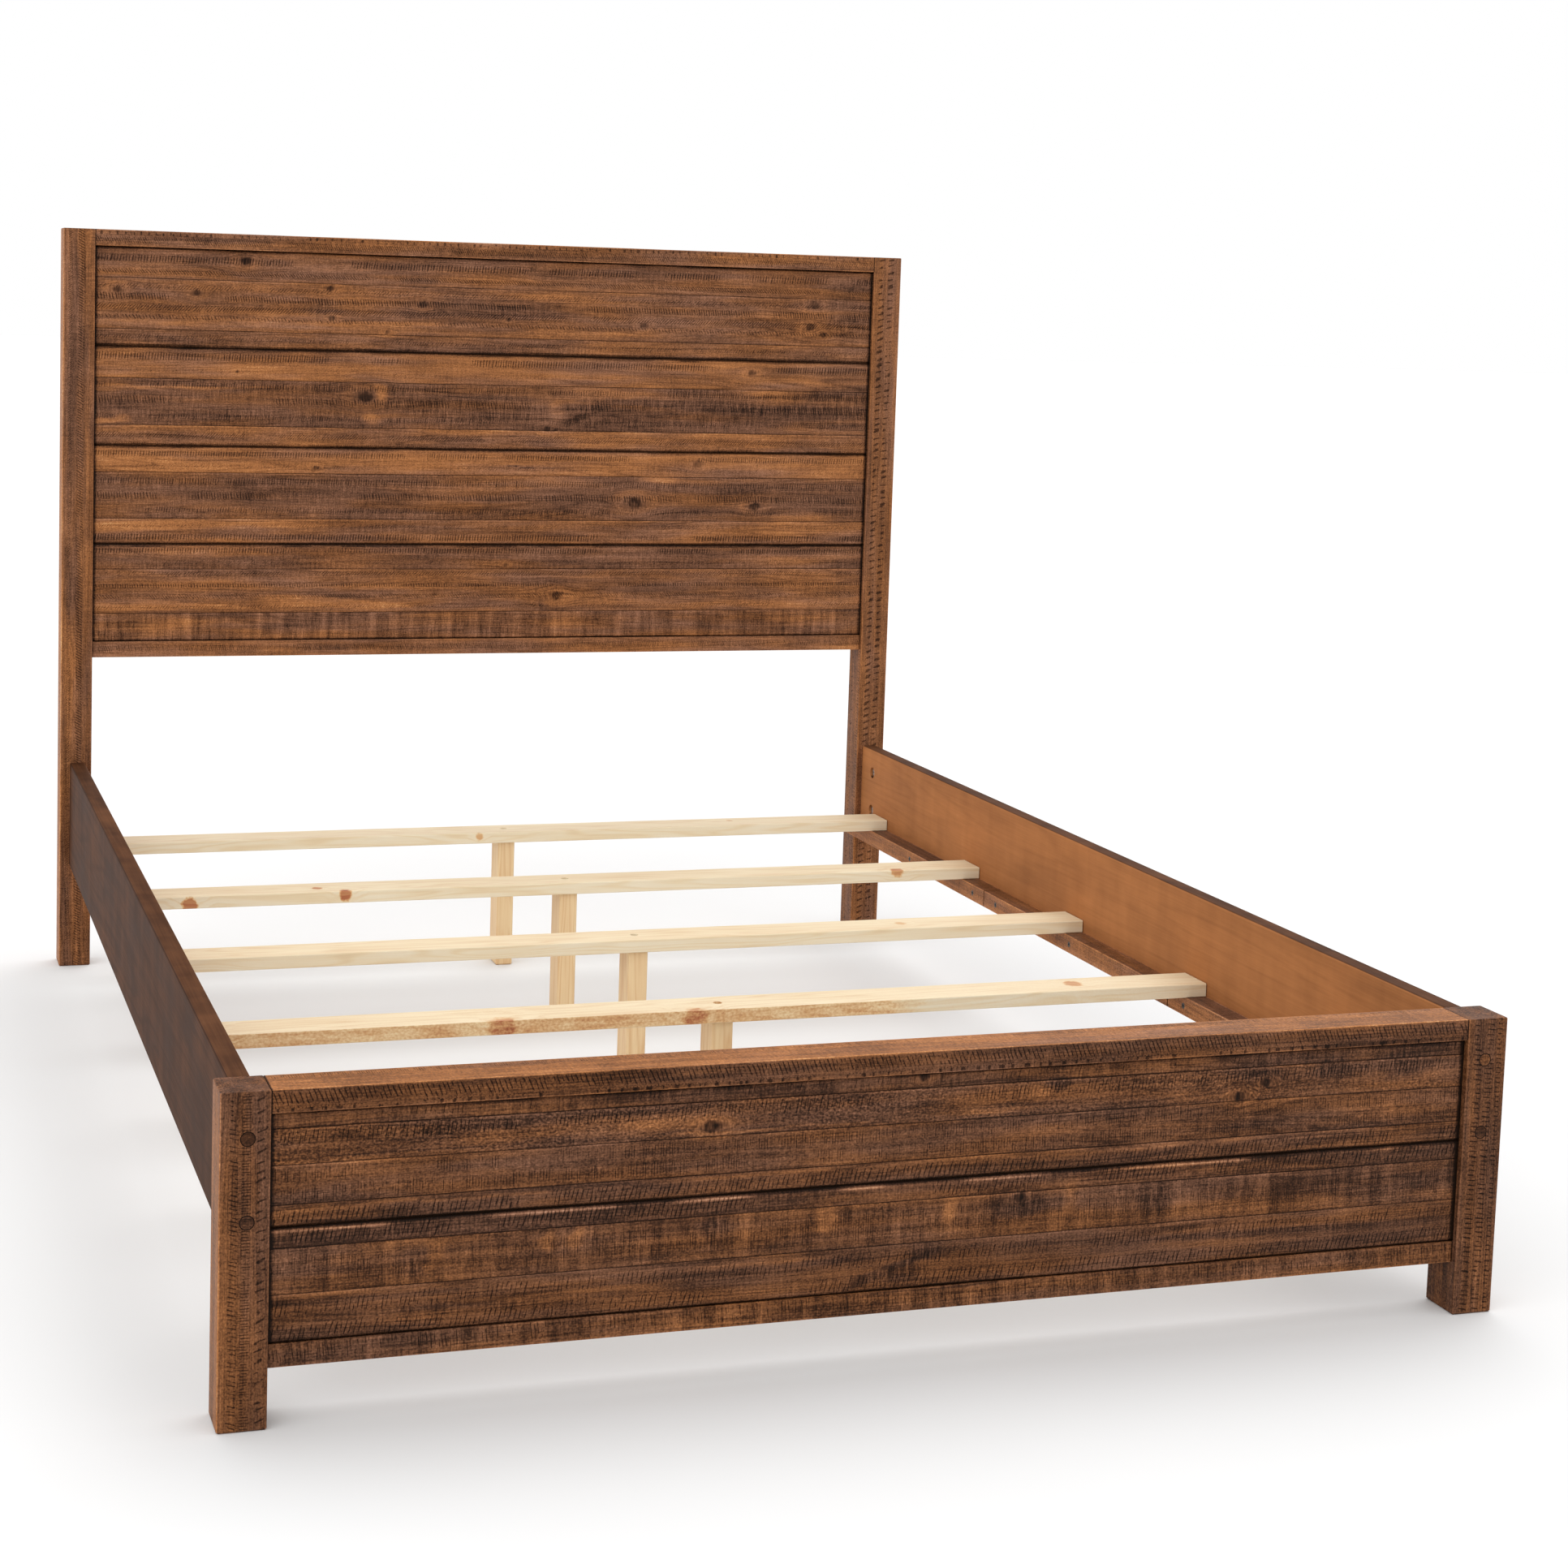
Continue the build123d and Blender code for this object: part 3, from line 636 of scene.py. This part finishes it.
HEADBOARD = {
    "headboard_plank_1": Plank(
        [
            Stave(0.305, 0.5, 0.10, rows=[(0.38, 8.5, 5, 0.15, 0.8), (0.80, 6, 4.4, -0.8, 0.7)]),
            Stave(0.530, 0.1, 0.05, rows=[
                (0.17, 7, 5.2, 0.9, 0.5), (0.36, 7.5, 4.6, -0.2, 0.9), (0.56, 8, 4.8, 0.9, 0.7),
                (0.74, 6, 5.5, -0.5, 0.6)]),
            Stave(0.165, 0.6, 0.12, rows=[(0.40, 7, 4.4, 0.6, 0.45), (0.88, 2.5, 3.6, 0.3, 0.9)]),
        ],
        [
            (0.40, 0.25, 0.022, 0.035, 0.6), (0.10, 0.345, 0.12, 0.02, -0.5),
            (0.285, 0.55, 0.020, 0.16, 0.35), (0.40, 0.56, 0.030, 0.12, 0.4),
            (0.53, 0.55, 0.07, 0.10, 0.4), (0.56, 0.37, 0.035, 0.03, -0.7),
            (0.95, 0.15, 0.06, 0.10, 0.3), (0.97, 0.50, 0.04, 0.40, 0.3),
            (0.06, 0.76, 0.06, 0.03, -0.4), (0.36, 0.78, 0.06, 0.03, -0.4),
            (0.05, 0.92, 0.12, 0.06, 0.3), (0.66, 0.60, 0.10, 0.12, 0.15),
        ],
        [
            (0.035, 0.43, 8, 0.9), (0.128, 0.44, 7, 0.8), (0.186, 0.11, 9, 0.7),
            (0.289, 0.36, 6, 0.8), (0.291, 0.66, 5, 0.9), (0.403, 0.50, 7, 0.8),
            (0.360, 0.79, 4, 0.7), (0.685, 0.65, 7, 0.8), (0.511, 0.63, 4, 0.8),
            (0.913, 0.38, 10, 0.9), (0.908, 0.62, 9, 1.0), (0.926, 0.70, 5, 0.9),
        ],
        flames=[
            (0.05, 0.480, 0.74, 0.70, 0.040, -0.8), (0.42, 0.660, 0.36, 0.42, 0.050, -0.8),
            (0.60, 0.180, 0.16, 0.22, 0.030, 0.4), (1.05, 0.800, 0.58, 0.62, 0.090, 0.4),
        ],
    ),
    "headboard_plank_2": Plank(
        [
            Stave(0.31, 0.2, -0.15, rows=[(0.30, 9, 4.8, 0.12, 0.85), (0.75, 4, 4.2, 0.9, 0.35)]),
            Stave(0.49, 0.5, 0.42, rows=[
                (0.15, 8, 4.4, 0.1, 0.6), (0.45, 10, 4.8, -0.15, 0.6), (0.80, 7, 4.2, 0.2, 0.5)]),
            Stave(0.20, 0.1, -0.05, rows=[(0.45, 8, 4.4, 0.9, 0.6), (0.88, 3, 3.6, 0.2, 0.8)]),
        ],
        [
            (0.15, 0.20, 0.15, 0.07, -0.3), (0.60, 0.22, 0.12, 0.05, -0.4),
            (0.07, 0.40, 0.09, 0.016, -1.0), (0.02, 0.76, 0.020, 0.03, -1.1),
            (0.045, 0.73, 0.012, 0.045, -0.9), (0.353, 0.43, 0.007, 0.10, -1.2),
            (0.343, 0.70, 0.012, 0.06, -1.1), (0.42, 0.66, 0.07, 0.035, -0.7),
            (0.575, 0.60, 0.012, 0.12, -0.9), (0.64, 0.38, 0.06, 0.05, -0.7),
            (0.76, 0.33, 0.05, 0.03, 0.3), (0.94, 0.40, 0.07, 0.09, 0.4),
            (0.85, 0.36, 0.035, 0.03, -0.7), (0.555, 0.93, 0.02, 0.04, 0.5),
            (0.20, 0.55, 0.10, 0.02, -0.2), (0.93, 0.74, 0.08, 0.04, -0.6),
        ],
        [(0.334, 0.46, 13, 0.8), (0.563, 0.77, 7, 0.6), (0.831, 0.13, 7, 0.9), (0.178, 0.23, 3, 0.7)],
        flames=[
            (-0.30, 0.245, 0.50, 0.38, 0.030, -0.9), (0.34, 0.552, 0.66, 0.64, 0.070, 0.9),
            (1.10, 0.600, 0.58, 0.46, 0.085, 0.9), (0.66, 0.568, 0.40, 0.80, 0.070, 0.8),
            (0.66, 0.530, 0.30, 0.22, 0.040, 0.6), (0.90, 1.020, 0.36, 0.26, 0.090, 0.8),
            (0.36, 0.660, 0.83, 0.80, 0.030, -0.6),
        ],
    ),
    "headboard_plank_3": Plank(
        [
            Stave(0.26, 0.1, -0.35, rows=[(0.30, 7, 4.4, 0.12, 0.8), (0.78, 5, 4.6, 0.9, 0.35)]),
            Stave(0.49, 0.6, 0.30, rows=[
                (0.20, 9, 4.4, 0.1, 0.6), (0.50, 9, 4.8, -0.15, 0.7), (0.80, 8, 4.4, 0.2, 0.5)]),
            Stave(0.25, 0.2, -0.05, rows=[(0.25, 6, 4.4, 0.9, 0.4), (0.72, 8, 4.8, 0.12, 0.9)]),
        ],
        [
            (0.53, 0.18, 0.020, 0.008, 1.4), (0.575, 0.17, 0.018, 0.008, 1.4),
            (0.255, 0.67, 0.016, 0.05, 0.4), (0.19, 0.45, 0.012, 0.14, 0.3),
            (0.71, 0.31, 0.030, 0.05, -1.1), (0.82, 0.40, 0.04, 0.10, 0.4),
            (0.74, 0.52, 0.045, 0.08, -0.5), (0.85, 0.84, 0.12, 0.06, -0.3),
            (0.58, 0.93, 0.04, 0.06, 0.5), (0.90, 0.68, 0.05, 0.06, -0.6),
            (0.60, 0.35, 0.05, 0.05, -0.4), (0.03, 0.12, 0.06, 0.06, -0.3),
        ],
        [(0.274, 0.21, 5, 0.7), (0.762, 0.13, 9, 0.6), (0.680, 0.55, 14, 0.8), (0.841, 0.58, 10, 0.8)],
        flames=[
            (-0.20, 0.340, 0.82, 0.80, 0.070, -0.9), (0.90, 0.700, 0.36, 0.30, 0.060, -0.8),
            (0.20, 0.620, 0.80, 0.90, 0.060, 0.5), (1.10, 0.840, 0.60, 0.66, 0.060, 0.6),
        ],
    ),
    "headboard_plank_4": Plank(
        [
            Stave(0.25, 0.4, 0.25, rows=[(0.28, 7, 4.6, 0.12, 0.8), (0.75, 6, 4.4, 0.9, 0.35)]),
            Stave(0.47, 0.1, 0.0, rows=[
                (0.12, 6, 4.6, 0.9, 0.6), (0.38, 5, 4.4, -0.1, 0.8), (0.62, 6, 4.4, -0.8, 0.6),
                (0.85, 5, 4.6, 0.8, 0.5)]),
            Stave(0.28, 0.5, 0.15, bands=1.0),
        ],
        [
            (0.10, 0.08, 0.12, 0.06, -0.7), (0.565, 0.62, 0.008, 0.10, 0.5),
            (0.12, 0.38, 0.10, 0.04, -0.4), (0.96, 0.52, 0.04, 0.16, 0.3),
            (0.10, 0.86, 0.05, 0.10, -0.5), (0.19, 0.86, 0.02, 0.10, -0.5),
            (0.28, 0.45, 0.06, 0.03, 0.3), (0.62, 0.88, 0.06, 0.08, -0.3),
            (0.04, 0.88, 0.04, 0.10, 0.3), (0.25, 0.86, 0.03, 0.10, 0.3),
        ],
        [(0.580, 0.55, 11, 0.7), (0.515, 0.22, 4, 0.7)],
        flames=[
            (0.18, 0.400, 0.56, 0.655, 0.075, -1.5), (-0.05, 0.110, 0.62, 0.670, 0.050, -1.2),
            (0.02, 0.200, 0.58, 0.665, 0.045, -1.3), (0.10, 0.500, 0.42, 0.46, 0.035, -0.9),
            (1.05, 0.680, 0.62, 0.66, 0.050, -0.7), (0.45, 0.760, 0.40, 0.36, 0.035, 0.4),
        ],
    ),
}

FOOTBOARD = {
    "footboard_plank_upper": Plank(
        [
            Stave(0.13, 0.6, 0.20, bands=0.5, rows=[(0.5, 8, 5, 0.2, 0.3)]),
            Stave(0.33, 0.1, 0.10, fuzz=0.55, rows=[(0.30, 12, 4.4, 0.15, 0.50)]),
            Stave(0.36, 0.5, 0.08, bands=0.30, fuzz=0.2, rows=[
                (0.25, 12, 3.2, 0.0, 0.42), (0.72, 12, 3.2, 0.0, 0.42)]),
            Stave(0.18, 0.2, 0.10, rows=[(0.5, 13, 5.2, 0.25, 0.52)]),
        ],
        [
            (0.156, 0.20, 0.06, 0.08, 0.5), (0.624, 0.18, 0.010, 0.10, 0.7),
            (0.80, 0.19, 0.026, 0.09, 0.6), (0.868, 0.20, 0.018, 0.10, 0.6),
            (0.93, 0.22, 0.030, 0.14, 0.8), (0.61, 0.25, 0.012, 0.10, -0.6),
            (0.915, 0.24, 0.012, 0.10, -0.6), (0.40, 0.43, 0.11, 0.012, -0.9),
            (0.12, 0.845, 0.12, 0.012, -1.0), (0.34, 0.84, 0.12, 0.012, -0.8),
            (0.57, 0.40, 0.05, 0.02, -0.8), (0.50, 0.30, 0.05, 0.05, 0.35),
            (0.20, 0.41, 0.20, 0.010, 0.6), (0.72, 0.84, 0.20, 0.012, -0.5),
            (0.30, 0.30, 0.04, 0.06, -0.4), (0.97, 0.30, 0.03, 0.06, -0.4),
        ],
        [(0.341, 0.37, 9, 1.0), (0.786, 0.42, 7, 1.0), (0.512, 0.05, 5, 0.9), (0.81, 0.30, 5, 0.8)],
    ),
    "footboard_plank_lower": Plank(
        [
            Stave(0.16, 0.4, 0.30, rows=[(0.5, 13, 5.0, 0.25, 0.55)]),
            Stave(0.42, 0.1, 0.12, bands=0.75, fuzz=0.2, rows=[(0.5, 24, 3.0, 0.0, 0.36)]),
            Stave(0.42, 0.5, 0.15, rows=[(0.28, 13, 4.8, 0.2, 0.46), (0.78, 12, 5.2, 0.25, 0.5)]),
        ],
        [
            (0.130, 0.32, 0.006, 0.16, -1.0), (0.217, 0.30, 0.006, 0.14, -0.9),
            (0.238, 0.30, 0.006, 0.14, -0.9), (0.436, 0.30, 0.007, 0.13, -1.1),
            (0.538, 0.30, 0.007, 0.14, -1.0), (0.640, 0.28, 0.008, 0.14, -1.0),
            (0.115, 0.34, 0.015, 0.18, 0.4), (0.345, 0.34, 0.018, 0.18, 0.6),
            (0.595, 0.28, 0.020, 0.16, 0.7), (0.715, 0.34, 0.018, 0.16, 0.6),
            (0.520, 0.68, 0.018, 0.08, 0.9), (0.500, 0.84, 0.020, 0.08, 0.9),
            (0.18, 0.80, 0.10, 0.03, 0.4), (0.80, 0.75, 0.12, 0.04, 0.3),
            (0.08, 0.62, 0.08, 0.02, -0.5), (0.35, 0.64, 0.12, 0.015, -0.7),
            (0.08, 0.10, 0.08, 0.06, 0.2), (0.42, 0.08, 0.10, 0.05, 0.15),
        ],
        [(0.596, 0.22, 6, 0.8)],
        flames=[
            (-0.10, 0.420, 0.72, 0.66, 0.030, -0.7), (0.10, 0.520, 0.78, 0.72, 0.025, -0.6),
            (0.44, 0.530, 0.98, 0.66, 0.060, 1.2), (1.05, 0.560, 0.80, 0.68, 0.040, 0.5),
        ],
        # painted highlight along the top edge of the lower plank
        painted_lip_light=2.2,
    ),
}


def make_planks():
    head_wood = staved_wood("Headboard sawn wood", 0.54)
    foot_wood = staved_wood("Footboard sawn wood", 0.41)
    for seed, (node, plank) in enumerate(HEADBOARD.items(), start=1):
        make_plank(node, plank, head_wood, seed)
    for seed, (node, plank) in enumerate(FOOTBOARD.items(), start=11):
        make_plank(node, plank, foot_wood, seed)


# ---------------------------------------------------------------- stained CAD beams

POST_TONES = {
    "headboard_post_left": 0.51, "headboard_post_right": 0.51,
    "footboard_post_left": 0.39, "footboard_post_right": 0.35,
}
# Dash rows: (face, axis across, offset of the row's middle, half width, pitch, slant, strength),
# with the offset, half width and pitch in millimetres
POST_ROWS = {
    "headboard_post_left": [
        ("y", "x", -14, 6, 3.4, -0.6, 0.5), ("y", "x", 3.5, 8, 4.5, 0.55, 0.75),
        ("x", "y", 8, 7, 6.0, 0.3, 0.4), ("x", "y", -12, 6, 6.0, 0.3, 0.4),
    ],
    "headboard_post_right": [
        ("y", "x", -11, 8, 12, -0.35, 0.7), ("y", "x", 6, 8, 12.5, -0.25, 0.65),
        ("x", "y", -20, 5, 5.5, -0.3, 0.6), ("x", "y", 10, 7, 9, 0.3, 0.35),
    ],
    "footboard_post_left": [
        ("y", "x", -11, 8, 4.6, 0.3, 0.55), ("y", "x", 1, 8, 3.1, 0.0, 0.60),
        ("y", "x", 17, 8, 10.5, -0.45, 0.50), ("x", "y", 0, 3, 9, 0.2, 0.25),
    ],
    "footboard_post_right": [
        ("y", "x", -12, 8, 5.8, 0.15, 0.60), ("y", "x", 3.5, 8, 5.8, 0.15, 0.60),
        ("y", "x", 16.5, 5, 5.8, 0.15, 0.55), ("x", "y", -10, 7, 7, 0.3, 0.3),
    ],
}


def paint(node, material):
    """Gives a CAD node its material on every slot."""
    shown = nodes[node]
    for slot in shown.material_slots:
        slot.material = material


def beam(node, grain, rows, tone, face_tones_and_light=(), **more):
    """Paints a CAD beam whose grain runs along axis 0, 1 or 2."""
    low, high = (Vector(c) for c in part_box(node))
    wood = beam_wood(f"Wood of {node}", low, high, grain, rows, tone, face_tones_and_light, **more)
    paint(node, wood)


def paint_posts():
    for node, rows in POST_ROWS.items():
        outside = -1 if "left" in node else 1
        top = -0.06 if "head" in node else 0.02
        # the outer side face is painted lighter and warmer, as painted light from the side; the top
        # face gets its own tone
        beam(node, 2, rows, POST_TONES[node], [(outside, 0.24), (3, top)])


def paint_panel_rails():
    head_rows = [("y", "z", 8, 5, 13, 0.1, 0.5), ("y", "z", -3, 9, 3.7, 0.5, 0.6),
                 ("z", "y", 18, 8, 5, 0.1, 0.45)]
    beam("headboard_top_rail", 0, head_rows, 0.52)
    beam("headboard_bottom_rail", 0, [("y", "z", -2, 9, 3.4, 0.3, 0.5)], 0.57)
    foot_rows = [("y", "z", 3.5, 11, 5.1, 0.4, 0.58), ("y", "z", -9, 4, 15, 0.0, 0.6),
                 ("z", "y", 17, 9, 5, 0.1, 0.45)]
    # the top face of the footboard's top rail is painted lighter: painted light from above
    beam("footboard_top_rail", 0, foot_rows, 0.37, [(3, 0.32)])
    beam("footboard_bottom_rail", 0, [("y", "z", 0, 14, 4, 0.1, 0.4)], 0.42, bands=0.8)


def planed_wood(name, outside, tone):
    """Smooth stained wood of a side rail: darker on its outer face and its top."""
    g = Graph(name)
    fibre = g.noise(g.x * 420, g.y * 7, g.z * 420, detail=3.0)
    cloud = g.noise(g.x * 8, g.y * 5, g.z * 14, detail=4.0, roughness=0.6)
    ripple = g.noise(g.x * 20, g.y * 28, g.z * 9, detail=2.0)
    line = (g.noise(g.x * 9, g.y * 0.9, g.z * 11, detail=1.0) * 12).wave().step(0.5, 1.0)
    outer, upper = (g.nx * outside).step(0.4, 0.8), g.nz.step(0.5, 0.9)
    level = (fibre - 0.5) * 0.12 + (cloud - 0.5) * 0.26 + (ripple - 0.5) * 0.12 - line * 0.03 + tone
    level = level - outer * 0.40 - upper * 0.38
    height = 0.5 + (fibre - 0.5) * 0.6 + (ripple - 0.5) * 0.4
    roughness = 0.6 + (cloud - 0.5) * 0.2
    colour = stained(g, level, 0.95 - outer * 0.65 - upper * 0.35)
    return g.finish(colour, roughness, height, 0.0002, Specular_IOR_Level=0.03)


def paint_side_rails():
    for side, outside in (("left", -1), ("right", 1)):
        paint(f"side_rail_{side}", planed_wood(f"Planed wood {side}", outside, 0.68))
        for place in ("head", "middle", "foot"):
            # each ledger's inner face is painted lighter and its top darker: painted light and painted
            # shade
            beam(f"ledger_{side}_{place}", 1, [], 0.50, [(-outside, 0.18), (3, -0.08)],
                 bands=0.2, fuzz=0.1)


def plug_wood(end, tone):
    """Wood of the plugs over the bolts, with a dark line round each."""
    g = Graph(f"Plugs of {end}")
    low, high = (Vector(c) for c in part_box(f"{end}_bolt_plugs"))
    centre, half = (low + high) / 2, (high - low) / 2
    dx = (g.x - centre.x).size() - (half.x - PLUG_RADIUS)
    dz = (g.z - centre.z).size() - (half.z - PLUG_RADIUS)
    distance = g.math("SQRT", dx * dx + dz * dz)
    rim = distance.step(PLUG_RADIUS - 1.3 * MM, PLUG_RADIUS - 0.5 * MM)
    field = {"phase": g.x * 300, "marks": g.noise(g.x * 60, g.z * 60, 0.0).step(0.5, 0.7) * 0.4,
             "stain": (g.noise(g.x * 90, g.z * 30, 0.0) - 0.5) * 0.8, "bands": 0.0, "fuzz": 0.1,
             "edge": rim * PLUG_RIM_EDGE}
    return sawn_finish(g, g.x, g.z, g.y, field, tone)


def paint_plugs():
    paint("headboard_bolt_plugs", plug_wood("headboard", 0.40))
    paint("footboard_bolt_plugs", plug_wood("footboard", 0.28))


# ---------------------------------------------------------------- bare pine and steel

PINE = [
    (0.0, (0.11, 0.035, 0.018)),
    (0.30, (0.40, 0.20, 0.090)),
    (0.55, (0.63, 0.45, 0.26)),
    (0.80, (0.77, 0.66, 0.46)),
    (1.0, (0.84, 0.78, 0.64)),
]
WARM_PINE = [
    (0.0, (0.10, 0.025, 0.010)),
    (0.30, (0.42, 0.13, 0.045)),
    (0.55, (0.66, 0.36, 0.15)),
    (0.80, (0.85, 0.62, 0.34)),
    (1.0, (0.93, 0.81, 0.58)),
]


def pine_knots(g, along, across, depth, knots):
    """Darkness of the knots, and how far the grain bends, there and elsewhere."""
    knot = along * 0.0
    bend = (g.noise(along * 3, across * 9, depth * 9) - 0.5) * 0.03
    for x, y, z, radius, dark in knots:
        lumps = g.noise(g.x * 140, g.y * 140, g.z * 140, detail=2.0) - 0.5
        dx, dy, dz = g.x - x, g.y - y, g.z - z
        distance = g.math("SQRT", dx * dx + dy * dy + dz * dz)
        near = (distance + lumps * radius * 0.9) / radius
        knot = g.math("MAXIMUM", knot, near.step(1.05, 0.55) * dark)
        bend = bend + near.step(3.2, 0.4) * radius * 0.5
    return knot, bend


def pine_wood(name, grain, knots, tone=0.72, rough=0.0, warmth=0.0):
    """Bare pine; knots are (x, y, z, radius, darkness) in metres, rough is a sawn front face."""
    g = Graph(name)
    places = [g.x, g.y, g.z]
    along = places[grain]
    across, depth = [places[i] for i in range(3) if i != grain]
    knot, bend = pine_knots(g, along, across, depth, knots)
    fibre = g.noise(along * 7, (across + bend) * 420, (depth + bend) * 420, detail=3.0)
    ring = g.noise(along * 1.6, (across + bend) * 34, (depth + bend) * 34, detail=1.5)
    line = (ring * 11).wave().step(0.35, 1.0)
    cloud = g.noise(along * 5, across * 25, depth * 25, detail=3.0)
    torn = g.noise(along * 260, across * 380, depth * 380, detail=2.0) - 0.5
    side = g.nz.size().step(0.8, 0.4)
    ragged_end = g.x + (g.noise(g.x * 30, g.z * 90, 0.0) - 0.5) * 0.08
    sawn = side * ragged_end.step(SAWN_FRONT_END, SAWN_FRONT_END - 0.06) * rough
    patch = g.noise(along * 22, across * 60, depth * 60, detail=3.0) - 0.5
    level = side * (0.17 - warmth * 0.1) + tone - line * 0.10 + (fibre - 0.5) * 0.16
    level = level + (cloud - 0.5) * 0.22 + torn * rough * 0.1 + sawn * (torn * 0.5 + patch * 0.4 - 0.21)
    level = level - knot * ((knot * 3.0).wave() * 0.12 + 0.5)
    height = 0.5 + (fibre - 0.5) * 0.5 - line * 0.2 + torn * (sawn + 0.08) - knot * 0.2
    warm = g.math("MINIMUM", knot * 1.2 + side * 0.35 + sawn * 0.6 + warmth, 1.0)
    colour = g.blend(warm, g.ramp(level, PINE), g.ramp(level, WARM_PINE))
    return g.finish(colour, 0.56 + (fibre - 0.5) * 0.2, height, 0.0004)


# Places from the slat's middle, at its underside: (x, y, z, radius, darkness) in metres
SLAT_KNOTS = {
    1: [(-0.05, -0.032, 0.012, 0.008, 0.5), (0.42, 0.010, 0.019, 0.007, 0.4)],
    2: [(-0.60, -0.032, 0.006, 0.014, 1.0), (-0.36, -0.030, 0.013, 0.012, 0.9),
        (0.56, -0.028, 0.018, 0.013, 0.7), (-0.40, -0.005, 0.019, 0.010, 0.6)],
    3: [(-0.685, -0.018, 0.019, 0.012, 1.0), (0.42, 0.000, 0.019, 0.010, 0.35)],
    4: [(-0.30, -0.032, 0.008, 0.022, 0.45), (-0.04, -0.032, 0.010, 0.018, 0.45),
        (0.52, 0.004, 0.019, 0.016, 0.5), (-0.685, -0.008, 0.019, 0.022, 1.0)],
    5: [(0.25, -0.020, 0.019, 0.012, 0.7), (-0.45, 0.015, 0.019, 0.009, 0.6)],
}


def paint_pine():
    for number, knots in SLAT_KNOTS.items():
        low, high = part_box(f"slat_{number}")
        middle_y, base_z = (low[1] + high[1]) / 2, low[2]
        placed = [(x, middle_y + y, base_z + z, r, k) for x, y, z, r, k in knots]
        rough = 1.0 if number == 4 else 0.0
        paint(f"slat_{number}", pine_wood(f"Pine of slat {number}", 0, placed, rough=rough))
        leg = pine_wood(f"Pine of leg {number}", 2, [], tone=0.64, warmth=0.5)
        paint(f"center_leg_{number}", leg)


def steel(name, colour, roughness):
    """Plated or blackened steel with fine scuffs."""
    g = Graph(name)
    scuff = g.noise(g.x * 900, g.y * 900, g.z * 900, detail=3.0)
    patch = g.noise(g.x * 160, g.y * 160, g.z * 160, detail=2.0)
    bright = tuple(min(1.0, c * 1.25) for c in colour)
    shade = g.blend(patch, tuple(c * 0.75 for c in colour), bright)
    return g.finish(shade, roughness + (scuff - 0.5) * 0.25, scuff, 0.0001, Metallic=1.0)


def paint_steel():
    zinc = steel("Zinc plate", (0.60, 0.59, 0.56), 0.34)
    black = steel("Black screws", (0.07, 0.065, 0.06), 0.42)
    for node in nodes:
        if "ledger_screws" in node:
            paint(node, black)
        elif any(word in node for word in ("bolts", "washers", "nuts", "leg_screw")):
            paint(node, zinc)


def paint_dowels():
    wood = pine_wood("Beech dowels", 0, [], tone=0.5)
    paint("headboard_dowels", wood)
    paint("footboard_dowels", wood)


# ---------------------------------------------------------------- floor, light and camera


def make_floor():
    """A wide pale floor with a faint mottle."""
    mesh = bpy.data.meshes.new("floor")
    signs = [(-1, -1), (1, -1), (1, 1), (-1, 1)]
    corners = [(x * FLOOR_REACH, y * FLOOR_REACH, 0) for x, y in signs]
    mesh.from_pydata(corners, [], [(0, 1, 2, 3)])
    g = Graph("Floor")
    mottle = g.noise(g.x * 3, g.y * 3, 0.0)
    shade = g.blend(mottle, (0.75, 0.75, 0.75), (0.77, 0.77, 0.77))
    mesh.materials.append(g.finish(shade, 0.9, mottle, 0.0, Specular_IOR_Level=0.0))
    floor = bpy.data.objects.new("floor", mesh)
    bpy.context.scene.collection.objects.link(floor)


def soft_sun(name, strength, spread, travel):
    """A sun as wide as a soft box; spread is its angle in degrees, travel its direction."""
    data = bpy.data.lights.new(name, "SUN")
    data.energy, data.angle = strength, math.radians(spread)
    sun = bpy.data.objects.new(name, data)
    sun.rotation_euler = Vector(travel).to_track_quat("-Z", "Y").to_euler()
    bpy.context.scene.collection.objects.link(sun)


def make_lights():
    """A white studio all round, a soft light from the upper left and one from above."""
    world = bpy.data.worlds.new("Studio")
    bpy.context.scene.world = world
    world.use_nodes = True
    background = world.node_tree.nodes["Background"]
    background.inputs[0].default_value = (1, 1, 1, 1)
    background.inputs[1].default_value = 1.0
    soft_sun("Key", 0.7, 60, (3.2, 2.2, -4.2))
    soft_sun("Top", 1.0, 45, (-0.30, -0.35, -1.0))


def make_camera():
    """The product photograph's viewpoint: from beyond the foot, left of the bed."""
    yaw, pitch, roll = (math.radians(a) for a in (CAMERA_YAW, CAMERA_PITCH, CAMERA_ROLL))
    level_right = Vector((math.cos(yaw), -math.sin(yaw), 0))
    ahead, up_part = math.cos(pitch), math.sin(pitch)
    forward = Vector((math.sin(yaw) * ahead, math.cos(yaw) * ahead, up_part))
    level_up = level_right.cross(forward)
    right = level_right * math.cos(roll) + level_up * math.sin(roll)
    up = level_up * math.cos(roll) - level_right * math.sin(roll)
    data = bpy.data.cameras.new("Camera")
    data.lens, data.sensor_width = CAMERA_LENS, CAMERA_SENSOR
    data.shift_x, data.shift_y = CAMERA_SHIFT
    camera = bpy.data.objects.new("Camera", data)
    turn = Matrix((right, up, -forward)).transposed().to_4x4()
    camera.matrix_world = Matrix.Translation(CAMERA_PLACE) @ turn
    bpy.context.scene.collection.objects.link(camera)
    bpy.context.scene.camera = camera


make_planks()
paint_posts()
paint_panel_rails()
paint_side_rails()
paint_plugs()
paint_pine()
paint_steel()
paint_dowels()
make_floor()
make_lights()
make_camera()
bpy.context.scene.view_settings.view_transform = "Standard"
